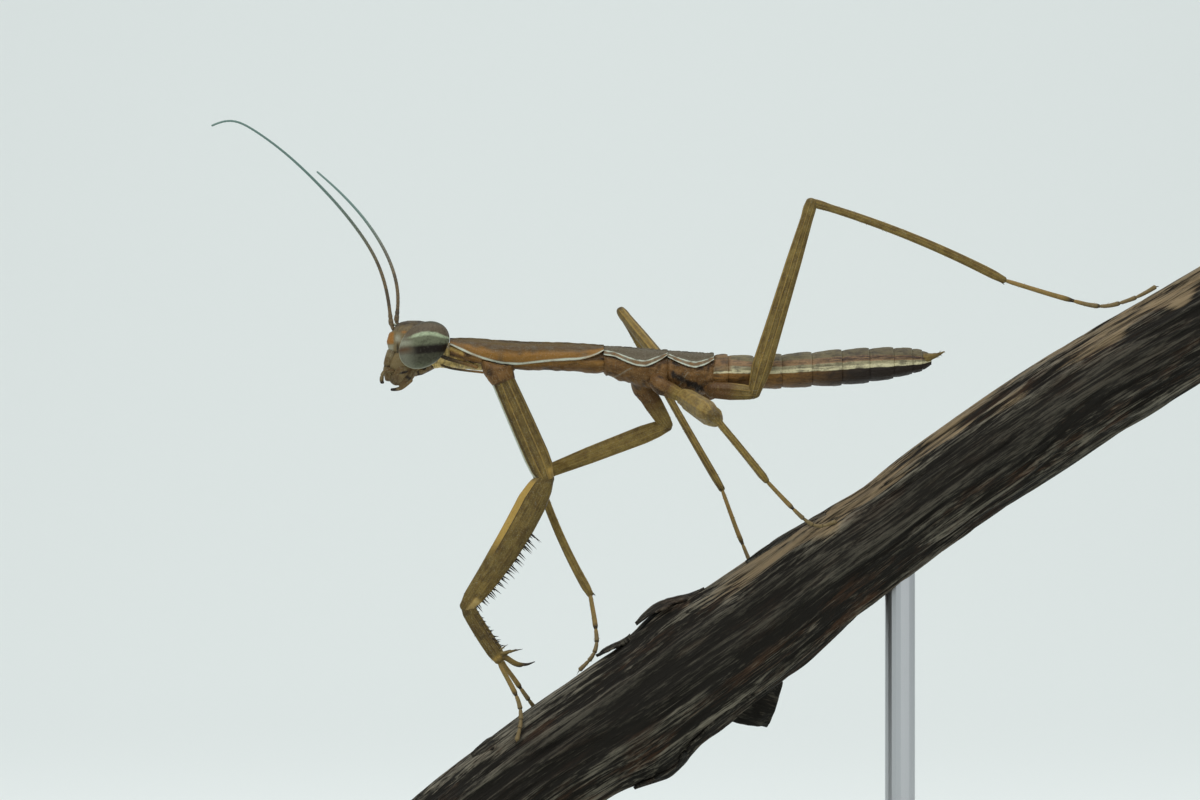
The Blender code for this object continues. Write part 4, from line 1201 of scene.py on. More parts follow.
def back_plate(rows, corners, thickness, margin, relief, colours, columns=120):
    """A back plate: an elliptical arc over the trunk from one margin to the other,
    whose margin turns up by corners at its front and rear. relief(share, arc) lifts it
    and colours(share, arc, edge) marks it, with arc from -1 at one margin to 1 at the
    other and edge the distance from the margin. The edge is a raised bead."""
    places, half, belly, back, seam = rows
    share = even(len(places))[:, None]
    arc = np.linspace(-1.0, 1.0, columns)[None, :]
    middle, tall = (back + belly) / 2.0, (back - belly) / 2.0
    run = places - places[0]
    seam = seam + corners[0] * (1.0 - np.clip(run / 2.2, 0.0, 1.0)) ** 2
    seam = seam + corners[1] * (1.0 - np.clip(run[::-1] / 2.4, 0.0, 1.0)) ** 2
    rise = np.arcsin(np.clip((seam - middle) / tall, -0.93, 0.93))[:, None]
    angle = math.pi / 2.0 + (math.pi / 2.0 - rise) * -arc
    span = (math.pi / 2.0 - rise) * (half + tall)[:, None] / 2.0
    edge = (1.0 - np.abs(arc)) * span
    behind = run[::-1][:, None]
    lift = relief(share, arc) + 0.06 * ramp(edge, margin, margin * 0.3) + 0.05 * ramp(behind, 0.5, 0.1)
    under = lift - thickness * ramp(np.minimum(edge, behind), -0.1, 0.3)
    outer, inner = (arched(places, half, middle, tall, angle, offset) for offset in (lift, under))
    fibre = spread(places[:, None], arc * span, 0.0)
    return plate(outer, inner, fibre=fibre, **colours(share, arc, edge))


# How far a side wall lies inside the solid's own, in millimetres
WALL_INSET = 0.05


def side_wall(rows, relief, colours, columns=120):
    """The trunk below a back plate: a closed form whose upper part hides under it.
    relief(share, down, around) lifts it and colours marks it, with down from 0 at the
    margin to 1 at the belly."""
    places, half, belly, back, seam = rows
    share = even(len(places))[:, None]
    turn = np.radians(once_round(columns))
    middle, tall = (back + belly) / 2.0, (back - belly) / 2.0
    rise = ((seam - middle) / tall)[:, None]
    down = np.clip((rise - np.sin(turn)) / (rise + 1.0), -1.0, 1.0)
    around = np.abs(np.sin(turn / 2.0 - math.pi / 4.0))
    lift = relief(share, down, around) * ramp(down, -0.10, 0.05) - WALL_INSET
    points = arched(places, half, middle, tall, turn, lift - 0.10 * ramp(down, -0.02, -0.30))
    x, y, z = np.moveaxis(points, -1, 0)
    fibre = spread(x, z - middle[:, None], y)
    return woven(points, fibre=fibre, **colours(share, down, around))


def back_pattern(keel, shield):
    """Relief and colours of a back plate. The shield has a groove across it, the two
    small plates a pale line inside their rim."""
    def relief(share, arc):
        side = np.abs(arc)
        rough = patches(83, 30, 22, share, (arc + 1.0) / 2.02)
        lift = keel * bump(arc, 0.0, 0.035) - 0.04 * bump(side, 0.10, 0.04)
        lift = lift - 0.05 * bump(share, 0.27, 0.015) * ramp(side, 0.8, 0.5) * shield
        return lift - 0.07 * bump(side, 0.60, 0.09) * ramp(share, 0.0, 0.2) + 0.05 * rough

    def colours(share, arc, edge):
        side = np.abs(arc)
        spots = patches(85, 24, 10, share, (arc + 1.0) / 2.02)
        veil = patches(86, 12, 5, share, (arc + 1.0) / 2.02)
        band = 0.0 if shield else ramp(edge, 0.55, 0.42)
        # Along the margin the pale line is a pale rim and partly a painted highlight on its bead.
        if shield:
            line = (0.55 + 0.6 * veil) * bump(edge, 0.11, 0.11)
            warm = ramp(side, 0.38, 0.72) * (0.45 + 0.7 * spots)
        else:
            line = (0.5 + 0.6 * veil) * bump(edge, 0.07, 0.08)
            line = line + (0.25 + 0.9 * veil) * bump(edge, 0.52, 0.07)
            warm = 0.75 * band * (0.2 + spots)
        dark = 0.6 * ramp(side, 0.34, 0.10) * spots + 0.35 * ramp(share, 0.05, 0.0)
        return {"warm": np.clip(warm, 0, 1), "dark": np.clip(dark, 0, 0.8),
                "stripe": 0.8 * ramp(side, 0.48, 0.25),
                "pale": np.clip(line + 0.25 * band * veil, 0, 1)}

    return relief, colours


def wall_pattern(name):
    """Relief and colours of a side wall: seams that slant down and back, a light nape
    at the front of the first wall and a dark slit along the last, painted shade of the
    gap between the hind coxa and the thorax."""
    first, last = name == "prosternum", name == "metathorax"

    def relief(share, down, around):
        slant = share + 0.35 * down
        rough = patches(87, 26, 26, share, around) + patches(88, 9, 9, share, around)
        seams = bump(slant, 0.42, 0.03) + bump(slant, 0.92, 0.03)
        ends = ramp(share, 0.95, 1.0) + ramp(share, 0.04, 0.0) * (not first)
        return 0.10 * (rough - 1.0) - 0.02 * seams - 0.15 * ends

    def colours(share, down, around):
        slant = share + 0.35 * down
        spots = patches(89, 16, 14, share, around)
        nape = ramp(share, 0.11, 0.08) * (1.0 - bump(down, 0.36 + 0.6 * share, 0.13)) * first
        # The slit on the last wall is painted shade of the gap between the hind coxa and the thorax.
        slit = bump(down, 0.30 + 0.62 * share, 0.14) * ramp(share, 0.0, 0.12)
        dark = 0.15 * (bump(slant, 0.42, 0.06) + bump(slant, 0.92, 0.06))
        dark = dark + 0.6 * ramp(share, 0.20, 0.05) * first * (1.0 - nape)
        dark = dark + 0.85 * slit * ramp(share, 0.95, 0.70) * last
        # Darker just under the back plate's margin: painted shade below its overhang.
        dark = dark + 0.4 * ramp(down, 0.08, 0.0) + 0.35 * ramp(spots, 0.55, 0.80)
        warm = (0.2 + bump(down, 0.25, 0.25)) * (0.3 + 0.6 * spots) * (1.0 if first else 0.4)
        return {"dark": np.clip(dark, 0, 1), "stripe": 0.45 * nape, "warm": np.clip(warm, 0, 1),
                "pale": 0.35 * bump(slant, 0.50, 0.02) * ramp(down, 0.1, 0.2)}

    return relief, colours


def leg_socket(leg, radii, rows):
    """A short sleeve of soft wall from inside the trunk down round a leg's root. It
    stays below the margin of the back plate, on a shoulder that slopes outward."""
    start = leg.root * [1.0, 0.35, 1.0] + [0.0, 0.0, 0.75]
    reach = 0.40 if leg.pair == "midleg" else 0.12
    warmth = 0.7 if leg.pair == "foreleg" else 0.15
    path = bent((start, leg.root, leg.root + reach * (leg.hip - leg.root)), 36)
    radius = np.interp(even(36), (0.0, 0.55, 1.0), radii)

    def relief(share, turn):
        rough = patches(71, 5, 9, share, turn / 360.0) - 0.5
        return 0.97 + 0.10 * rough - 0.04 * bump(share, 0.62, 0.08)

    def marks(share, turn):
        return {"dark": 0.55 * ramp(patches(72, 7, 8, share, turn / 360.0), 0.5, 0.8),
                "warm": warmth * patches(73, 6, 7, share, turn / 360.0)}

    sleeve = tube(path, leg.side, radius, radius, radius * 0.85, 48, 0.15, relief, marks)
    places, half, _, _, seam = rows
    x, y, z = sleeve.points.T
    beyond = np.abs(y) - np.interp(x, places, half)
    shoulder = np.interp(x, places, seam) - 0.12 - 0.7 * np.maximum(beyond, 0.0)
    sleeve.points[:, 2] = np.minimum(z, shoulder)
    return sleeve


def neck_surfaces():
    """Folded neck skin between the head and the shield, with hard strips on its sides."""
    low, high = node_box("neck")
    top, bottom = high[2] + 0.5, low[2]
    middle, tall = (top + bottom) / 2.0, (top - bottom) / 2.0
    path = bent(((low[0] - 1.0, 0.0, middle - 0.1), (low[0] + 0.5, 0.0, middle),
                 (high[0] + 1.0, 0.0, middle - 0.12), (high[0] + 3.2, 0.0, middle - 0.35)), 80)

    def folds(share, turn):
        return np.abs(np.sin(share * 15.0 + 1.2 * sind(turn)))

    def relief(share, turn):
        rough = patches(75, 8, 12, share, turn / 360.0)
        return 0.94 + 0.06 * folds(share, turn) ** 0.6 + 0.03 * rough

    def skin_marks(share, turn):
        # Dark in the troughs of the folds, painted shade in the creases, and darker along the upper
        # side.
        crease, above = ramp(folds(share, turn), 0.3, 0.0), ramp(cosd(turn), 0.1, 0.8)
        return {"dark": np.clip(0.75 * crease + 0.75 * above, 0.0, 1.0)}

    def strip_marks(share, turn):
        return {"dark": 0.7 * bump(share, 0.3, 0.5), "warm": 0.5 * share}

    skin = tube(path, ACROSS, tall, tall, high[1], 64, 0.2, relief, skin_marks)
    places = (low[0] - 0.15, low[0] + 0.45, high[0] + 0.1, high[0] + 1.7)
    lower = (0.10, 0.62, 0.98, 1.45), 0.0, 0.15
    upper = (1.30, 1.52, 1.70, 1.88), 0.5, 0.09
    strips = []
    for side in (-1.0, 1.0):
        for heights, reach, width in (lower, upper):
            line = bent([(place + reach, side * (0.80 + 0.06 * (index > 0)), high[2] - drop)
                         for index, (place, drop) in enumerate(zip(places, heights))])
            strips.append(tube(line, ACROSS, width, width, 0.10, 14, marks=strip_marks))
    return [skin], strips


def abdomen_surface(name, whole):
    """One ring of the abdomen. It slides under the ring in front, reaches a little past
    its rear with the rear edge sunk slightly, and carries a low keel along its back and
    a shallow fold along its side."""
    rows = sections(name, 12)
    first, last = rows[0, 0] - 0.22, rows[-1, 0] + 0.07
    share = even(44)
    places = first + (last - first) * share
    half, bottom, top = (np.interp(places, rows[:, 0], soften(rows[:, column], 2))
                         for column in (1, 2, 3))
    turn = np.radians(once_round(144))
    middle, tall = (top + bottom) / 2.0, (top - bottom) / 2.0
    level = np.sin(turn)
    lift = 0.07 * bump(turn, math.pi / 2.0, 0.10) - 0.05 * bump(level, 0.14, 0.05)
    lift = lift - 0.03 * bump(np.abs(level), 0.42, 0.04) - 0.02 * ramp(share[:, None], 0.94, 1.0)
    lift = lift - 0.06 * ramp(places - first, 0.24, 0.04)[:, None]
    if name.endswith("_10"):
        half, tall = half * (1.0 - 0.5 * share ** 2), tall * (1.0 - 0.4 * share ** 2)
    lift = lift + 0.05 * (patches(81, 5, 30, share[:, None], turn / (2.0 * math.pi)) - 0.5)
    points = arched(places, half, middle, tall, turn, lift)
    rear = np.clip((places - whole[0]) / (whole[1] - whole[0]), 0.0, 1.0)[:, None]
    fibre = spread(points[..., 0], turn * half.max(), 0.0)
    pale = 0.08 * ramp(last - places, 0.14, 0.05)[:, None] * (level > 0.05)
    return woven(points, fibre=fibre, level=(level + 1.0) / 2.0, rear=rear, pale=pale)


def abdomen_finish(tones):
    """Bands along the abdomen: they go by height, and darken towards the rear."""
    finish = Finish("banded_abdomen")
    mottle = finish.mottle(1.5, 4.0)
    streak = finish.grain((0.7, 5.0, 5.0), 1.2, 4.0)
    grain = finish.mottle(7.0)

    def behind(start, end):
        """A smooth step along the abdomen."""
        return finish.step(finish.mark("rear"), start, end)

    level = finish.mark("level") + 0.05 * (mottle - 0.5) + 0.05 * (streak - 0.5)
    level = level + 0.10 * behind(0.65, 1.0)
    level = level - 0.08 * behind(0.22, 0.05)
    rear = finish.step(finish.mark("rear") + 0.3 * (mottle - 0.5), 0.25, 0.68)
    green = np.add(tones.belly, tones.cream) * 0.42
    mauve = np.multiply(tones.umber, 1.5) + (0.004, 0.0, 0.003)
    upper = ((0.455, tones.cream), (0.535, tones.cream), (0.575, green), (0.635, green),
             (0.665, tones.stripe), (0.800, tones.stripe), (0.830, tones.belly), (1.0, tones.belly))
    lower = (0.10, tones.tawny), (0.35, tones.ochre), (0.430, tones.ochre)
    finish.shown = finish.shades(level, (*lower, *upper))
    finish.lay(rear, finish.shades(level, ((0.10, tones.umber), (0.427, tones.umber), *upper)))
    finish.lay(behind(0.085, 0.065) * finish.step(level, 0.48, 0.51) * 0.8, tones.tawny)
    dash = behind(0.40, 0.58) * finish.step(streak, 0.40, 0.56)
    inside = finish.step(level, 0.67, 0.70) * finish.step(level, 0.82, 0.79)
    finish.lay(dash * inside * 0.9, mauve)
    finish.lay(finish.step(level, 0.80, 0.84) * behind(0.40, 0.65) * 0.35, tones.umber)
    finish.lay(finish.step(streak * 0.5 + mottle * 0.5, 0.54, 0.40) * 0.60, tones.umber)
    finish.lay(finish.step(grain, 0.50, 0.70) * 0.35, tones.umber)
    finish.lay(finish.mark("pale") * 0.55, tones.rim)
    finish.relief(grain * 0.4 + streak * 0.6, 0.09)
    return finish.surface(roughness=0.55 + 0.25 * (mottle - 0.5), specular_ior_level=0.25)


# ------------------------------------------------------------------ perch

class Bark:
    """The branch: its axis, its radius and the relief of its bark."""
    # Layers of ridges: weight, seed, how many along the branch, how many round it
    ridges = ((0.24, 5, 6, 13), (0.36, 8, 9, 36), (0.26, 13, 16, 76), (0.14, 21, 34, 140))
    # Swellings: place along, turn round, height, half length, half width in degrees
    swellings = ((-6.1, 0.0, 0.60, 2.0, 34.0), (-11.4, 180.0, 0.80, 2.0, 45.0))
    # Slivers: the same, and a seed
    slivers = ((-10.0, -4.0, 0.50, 1.5, 11.0, 51), (-5.4, -6.0, 0.46, 2.7, 12.0, 53),
               (-4.8, 12.0, 0.40, 1.7, 10.0, 55), (-11.2, 182.0, 0.30, 2.9, 20.0, 57),
               (-6.6, 206.0, 0.34, 3.4, 12.0, 59), (-19.5, -20.0, 0.20, 2.2, 12.0, 61),
               (3.4, -14.0, 0.22, 3.0, 10.0, 63))

    def __init__(self, relief, rows=284, columns=256):
        self.relief, self.columns = relief, columns
        points, edges = node_mesh("branch")
        low, high = points[:, 0].min(), points[:, 0].max()
        ends = [points[points[:, 0] < low + 2.6].mean(0), points[points[:, 0] > high - 2.6].mean(0)]
        heading = unit(ends[1] - ends[0]) * [1.0, 0.0, 1.0]
        read = []
        for place in np.linspace(low + 3.4, high - 3.4, 56):
            middle = ends[0] + heading * ((place - ends[0][0]) / heading[0])
            found = cut(points, edges, middle, unit(heading))
            read.append(self.circle(found, middle, unit(heading)))
        read = np.array(read)
        line = soften(read[:, [0, 2]], 10)
        radii = soften(read[:, 3], 10)
        ahead, behind = line[0] - line[1], line[-1] - line[-2]
        line = np.concatenate([[line[0] + 3.0 * ahead], line, [line[-1] + 3.0 * behind]])
        radii = np.concatenate([radii[:1], radii, radii[-1:]])
        path = spread(line[:, 0], 0.0, line[:, 1])
        run = run_along(path)
        self.axis = resample(path, rows)
        self.run = np.linspace(0.0, run[-1], rows)
        self.radius = np.interp(self.run, run, radii)
        self.along = unit(np.gradient(self.axis, axis=0))
        self.up = spread(-self.along[:, 2], 0.0, self.along[:, 0])

    @staticmethod
    def circle(found, middle, normal):
        """Centre and radius of the round that most of a cut's points lie on."""
        up = np.array([-normal[2], 0.0, normal[0]])
        flat = np.stack([found[:, 1], (found - middle) @ up], 1)
        centre, radius = flat.mean(0), np.median(np.linalg.norm(flat - flat.mean(0), axis=1))
        for _ in range(12):
            away = np.linalg.norm(flat - centre, axis=1)
            kept = flat[np.abs(away - radius) < 0.09 * radius]
            table = np.concatenate([2 * kept, np.ones((len(kept), 1))], 1)
            answer = np.linalg.lstsq(table, (kept ** 2).sum(1), rcond=None)[0]
            centre = answer[:2]
            radius = math.sqrt(max(answer[2] + centre @ centre, 1.0))
        return (*(middle + up * centre[1]), radius)

    def height(self, share, turn):
        """Height of the bark from 0 in a furrow to 1 on a crest: ridges that run along
        the branch and swerve, broken up by finer ones."""
        swerve = 30.0 * (patches(3, 7, 3, share, turn / 360.0) - 0.5)
        around = (turn + swerve) / 360.0
        total = sum(weight * patches(seed, rows, columns, share, around)
                    for weight, seed, rows, columns in self.ridges)
        return ramp(total, 0.27, 0.70)

    def swell(self, place, turn):
        """Height of the swellings at places along the branch and turns round it."""
        return sum(tall * bump(place, along, long) * bump(turned_apart(turn, around), 0.0, wide)
                   for along, around, tall, long, wide in self.swellings)

    def surfaces(self):
        """The whole branch as one closed form with sawn ends, slivers and a stub."""
        share = even(len(self.axis))[:, None]
        turn = once_round(self.columns)
        place = self.axis[:, :1]
        height = self.height(share, turn)
        lift = self.relief * (height - 0.6) + self.swell(place, turn)
        points = self.skin(np.arange(len(share)), turn, lift)
        apart = np.abs(turned_apart(turn, 0.0))
        uneven = patches(9, 26, 14, share, turn / 360.0)
        # Crests show grey along the top and low down, and fade in a band round the middle of the sides:
        # partly darker bark, partly painted shade.
        top = ramp(apart - 22.0 * (uneven - 0.5), 66.0, 40.0)
        low = ramp(apart + 30.0 * (uneven - 0.5), 96.0, 128.0)
        bare = ramp(apart - 24.0 * (uneven - 0.5), 56.0, 36.0)
        right, left = ramp(place, -9.0, 4.0), ramp(-place, 16.0, 26.0)
        zone = top * (0.7 + 0.3 * right) + 0.80 * low * (1.0 - 0.3 * right) + 0.35 * left + 0.10
        whole = woven(points, fibre=self.fibres(points), height=height,
                      warm=bare * (0.20 + 0.62 * right) * (0.50 + 0.7 * uneven),
                      zone=np.clip(zone, 0.0, 1.0), russet=np.clip(0.8 * low + 0.5 * top, 0.0, 1.0),
                      # Underneath, the bark turns to the furrow tone: painted shade below the branch.
                      dark=0.35 * ramp(apart, 150.0, 172.0))
        return [whole, *self.sawn_ends(points), self.stub(), *map(self.sliver, self.slivers)]

    def skin(self, rows, turn, lift):
        """Points off the axis at the given rows: the radius plus a lift, turned."""
        radians = np.radians(turn)[..., None]
        away = (self.radius[rows][:, None] + lift)[..., None]
        outward = self.up[rows][:, None] * away * np.cos(radians)
        return self.axis[rows][:, None] + outward + ACROSS * away * np.sin(radians)

    def fibres(self, points):
        """Distance along the branch, and two distances off its axis."""
        x, y, z = np.moveaxis(points, -1, 0)
        run, level = (np.interp(x, self.axis[:, 0], value) for value in (self.run, self.axis[:, 2]))
        return spread(run, y, z - level)

    def sliver(self, settings):
        """A lifted sliver of bark: a thin plate with ragged edges, highest at its lower
        end or in its middle."""
        along, around, tall, long, wide, seed = settings
        rows = np.arange(*np.searchsorted(self.axis[:, 0], (along - long, along + long)))
        down = np.linspace(-1.0, 1.0, len(rows))[:, None]
        across = np.linspace(-1.0, 1.0, 26)[None, :]
        share = (down + 1.0) / 2.0
        ragged = 0.65 + 0.7 * patches(seed, 9, 2, share, 0.3 * np.sign(across) + 0.5)
        turn = around + wide * (1.0 - 0.75 * np.abs(down) ** 2.5) * ragged * across
        grain = patches(seed + 1, 5, 22, share, (across + 1.0) / 2.2)
        rise = tall * (0.25 + 0.75 * ramp(down, 1.0, -0.6)) * (0.85 + 0.3 * ragged)
        rise = rise + self.swell(self.axis[rows, :1], turn)
        outer = self.skin(rows, turn, rise + 0.16 * (grain - 0.5))
        inner = self.skin(rows, turn, rise - 0.16 - 0.5 * ramp(down, 0.2, 1.0))
        return plate(outer, inner, fibre=self.fibres(outer), height=0.15 + 0.7 * grain, zone=0.45,
                     russet=0.3)

    def sawn_ends(self, points):
        """A thin round of cut wood on each end, with growth rings."""
        shares = np.array([0.97, 0.9, 0.7, 0.5, 0.3, 0.1, 0.02])[:, None, None]
        parts = []
        for row, sense in ((0, -1.0), (-1, 1.0)):
            rim = points[row]
            centre = rim.mean(0)
            grid = centre + (rim - centre)[None] * shares + sense * 0.03 * self.along[row]
            back = grid[::-1] - sense * 0.3 * self.along[row]
            whole = np.concatenate([back, grid])
            ring = np.concatenate([shares[::-1], shares])[..., 0] * self.radius[row]
            vector = spread(ring, whole[..., 1], whole[..., 2])
            parts.append(woven(whole, pale=1.0, ring=vector, height=0.8))
        return parts

    def stub(self):
        """The broken stub of a side twig: a wedge with a jagged, splintered end, whose
        place is that of the solid's points that stand off farthest below."""
        points = node_mesh("branch")[0]
        near = np.abs(points[:, None, 0] - self.axis[None, :, 0]).argmin(1)
        drop = np.einsum("ij,ij->i", self.axis[near] - points, self.up[near]) - self.radius[near]
        end = points[drop > drop.max() - 1.3].mean(0)
        heading = unit(np.array([0.95, 0.12, -0.30]))
        path = end + [-0.2, 0.0, 1.9] + np.linspace(-6.5, 0.0, 40)[:, None] * heading

        def relief(share, turn):
            grain = patches(41, 8, 22, share, turn / 360.0)
            torn = patches(43, 3, 11, share, turn / 360.0)
            return (0.86 + 0.22 * grain) * (1.0 - 0.40 * ramp(share, 0.86, 1.0) * torn)

        def marks(share, turn):
            return {"height": 0.9 * patches(47, 10, 30, share, turn / 360.0), "zone": 0.25,
                    "dark": 0.25 * ramp(share, 0.5, 1.0)}

        return tube(path, np.array([0.2, 1.0, 0.0]), 2.3, 2.3, np.linspace(1.7, 1.3, 40), 80, 0.06,
                    relief, marks, power=3.0)


# ------------------------------------------------------------------ stage

def sweep(width, depth, bend, reach):
    """A floor that is level up to bend and then curves up into a backdrop, over reach
    along the curve, with a slope that sets in and ends gently."""
    slope = math.pi / 2.0 * ramp(even(80), 0.0, 1.0)
    y = np.concatenate([np.linspace(-depth, bend, 12), bend + np.cumsum(np.cos(slope)) * reach / 80])
    z = np.concatenate([np.zeros(12), np.cumsum(np.sin(slope)) * reach / 80])
    x = np.linspace(-width / 2.0, width / 2.0, 14)
    points = spread(x, y[:, None], z[:, None])
    return woven(points, around=False, caps=False)


def softbox(name, place, target, size, power):
    """A square area light aimed at a point."""
    lamp = bpy.data.lights.new(name, "AREA")
    lamp.shape = "SQUARE"
    lamp.size = size * MM
    lamp.energy = power
    holder = bpy.data.objects.new(name, lamp)
    bpy.context.scene.collection.objects.link(holder)
    holder.location = place * MM
    aim = unit(place - target)
    right = unit(np.cross([0.0, 0.0, 1.0], aim))
    up = np.cross(aim, right)
    holder.rotation_euler = Matrix(np.stack([right, up, aim], 1).tolist()).to_euler()


# ------------------------------------------------------------------ operators

class MANTIS_OT_head(bpy.types.Operator):
    """Builds the head capsule with its brow shield and simple eyes"""
    bl_idname = "mantis.head"
    bl_label = "Head"

    def execute(self, context):
        tones = context.scene.mantis_colours
        finish = shell_finish("head_shell", tones, tones.crown, tones.cheek, tones.face, tones.cheek)
        front, height = node_box("head_capsule")[0][0] + 0.66, 51.2
        surfaces = [head_surface(), *small_eyes(front, height)]
        piece_of("head", surfaces, finish, ["head_capsule"])
        return {"FINISHED"}


class MANTIS_OT_eyes(bpy.types.Operator):
    """Builds the two compound eyes"""
    bl_idname = "mantis.eyes"
    bl_label = "Compound eyes"

    def execute(self, context):
        scene = context.scene
        facet = scene.mantis_sizes.eye_facet / MM
        finish = eye_finish(scene.mantis_eyes, scene.mantis_colours.crown, facet)
        for word, side in HANDS.items():
            name = f"eye_{word}"
            piece_of(f"compound_{name}", [eye_surface(name, side)], finish, [name])
        return {"FINISHED"}


class MANTIS_OT_mouth(bpy.types.Operator):
    """Builds the mouthparts and their jointed feelers"""
    bl_idname = "mantis.mouth"
    bl_label = "Mouthparts"

    def execute(self, context):
        tones = context.scene.mantis_colours
        finish = shell_finish("mouth_shell", tones, tones.cheek, tones.back, tones.face)
        piece_of("mouth", mouth_surfaces(), finish, ["mouthparts"])
        for word, side in HANDS.items():
            name = f"palp_{word}"
            piece_of(f"mouth_feeler_{word}", [palp_surface(name, side)], finish, [name])
        return {"FINISHED"}


class MANTIS_OT_neck(bpy.types.Operator):
    """Builds the folded neck skin and its hard side strips"""
    bl_idname = "mantis.neck"
    bl_label = "Neck"

    def execute(self, context):
        skin, strips = neck_surfaces()
        tones = context.scene.mantis_colours
        piece_of("neck_skin", skin, skin_finish(tones.skin, tones.leg), ["neck"])
        finish = shell_finish("neck_shell", tones, tones.cheek, tones.leg_shade, tones.face)
        piece_of("neck_strips", strips, finish)
        return {"FINISHED"}


class MANTIS_OT_feelers(bpy.types.Operator):
    """Builds the two ringed feelers"""
    bl_idname = "mantis.feelers"
    bl_label = "Feelers"

    def execute(self, context):
        tones, sizes = context.scene.mantis_colours, context.scene.mantis_sizes
        finish = feeler_finish(tones.feeler_root, tones.feeler_tip, tones.umber)
        for word, side in HANDS.items():
            surfaces = feeler_surfaces(word, side, sizes.feeler_width / MM, sizes.feeler_ring / MM)
            names = [f"antenna_{word}_1", f"antenna_{word}_2"]
            piece_of(f"feeler_{word}", surfaces, finish, names)
        return {"FINISHED"}


# Thorax: back plate, side wall, pair of legs, height of the plate's keel, rise of its
# margin at the front and rear, and radii of a leg's sleeve from its top to its end
THORAX = (("pronotum", "prosternum", "foreleg", 0.10, (0.0, 0.62), (1.60, 1.20, 0.90)),
          ("mesonotum", "mesothorax", "midleg", 0.07, (0.30, 0.45), (1.0, 0.90, 0.64)),
          ("metanotum", "metathorax", "hindleg", 0.06, (0.35, 0.40), (0.95, 0.68, 0.50)))


class MANTIS_OT_thorax(bpy.types.Operator):
    """Builds the back plates and side walls of the thorax"""
    bl_idname = "mantis.thorax"
    bl_label = "Thorax"

    def execute(self, context):
        tones, sizes = context.scene.mantis_colours, context.scene.mantis_sizes
        margin, thick = sizes.margin_width / MM, sizes.plate_thickness / MM
        large = shell_finish("shield_shell", tones, tones.back, tones.crown, tones.ochre,
                             tones.leg_shade)
        small = shell_finish("small_plate_shell", tones, tones.slate, tones.crown, tones.tawny,
                             tones.slate)
        wall = shell_finish("wall_shell", tones, tones.flank, tones.tawny, tones.ochre, tones.skin)
        for upper, lower, pair, keel, corners, radii in THORAX:
            shield = upper == "pronotum"
            rows = segment(upper, lower, 150 if shield else 80)
            back = back_plate(rows, corners, thick, margin, *back_pattern(keel, shield))
            piece_of(f"{upper}_plate", [back], large if shield else small, [upper])
            trunk = side_wall(rows, *wall_pattern(lower))
            sockets = [leg_socket(Leg(pair, hand), radii, rows) for hand in HANDS]
            piece_of(f"{lower}_wall", [trunk, *sockets], wall, [lower])
        return {"FINISHED"}


def tail_surfaces(name, side, hair):
    """A short tapering tail feeler and its hairs."""
    low, high = node_box(name)
    middle = (low + high) / 2.0
    path = bent(((low[0] - 0.55, side * 0.28, middle[2] - 0.30),
                 (low[0], side * 0.38, middle[2] - 0.16), middle,
                 (high[0] - 0.05, side * 0.66, high[2] - 0.12)))
    share = even(30)
    radius = 0.42 - 0.37 * share ** 0.9 - 0.02 * np.abs(np.sin(share * 12.0))
    draw = np.random.default_rng(5)
    pick = draw.integers(2, 29, 24)
    angle = draw.uniform(0.0, 2.0 * math.pi, 24)
    skin = spread(0.0, np.cos(angle), np.sin(angle))
    hairs = spines(path[pick] + skin * 0.15, skin + [0.9, 0.0, 0.2], hair, 0.03,
                   np.zeros((24, 3)), 3, 0.9)
    return [tube(path, ACROSS, radius, radius, radius, 20), hairs]


class MANTIS_OT_abdomen(bpy.types.Operator):
    """Builds the rings of the abdomen and the tail feelers"""
    bl_idname = "mantis.abdomen"
    bl_label = "Abdomen"

    def execute(self, context):
        tones, sizes = context.scene.mantis_colours, context.scene.mantis_sizes
        finish = abdomen_finish(tones)
        names = [f"abdomen_{number}" for number in range(1, 11)]
        whole = node_box(names[0])[0][0], node_box(names[-1])[1][0]
        for name in names:
            piece_of(f"{name}_ring", [abdomen_surface(name, whole)], finish, [name])
        tail = shell_finish("tail_shell", tones, tones.leg, tones.leg_shade, tones.straw)
        for word, side in HANDS.items():
            name = f"cercus_{word}"
            surfaces = tail_surfaces(name, side, sizes.hair / MM)
            piece_of(f"tail_feeler_{word}", surfaces, tail, [name])
        return {"FINISHED"}


# How strongly the keels and seams of a limb show, if not by three quarters
LINED = {"foreleg_coxa": 0.55, "foreleg_femur": 0.12, "foreleg_tibia": 0.3,
         "midleg_coxa": 0.3, "midleg_femur": 0.35}


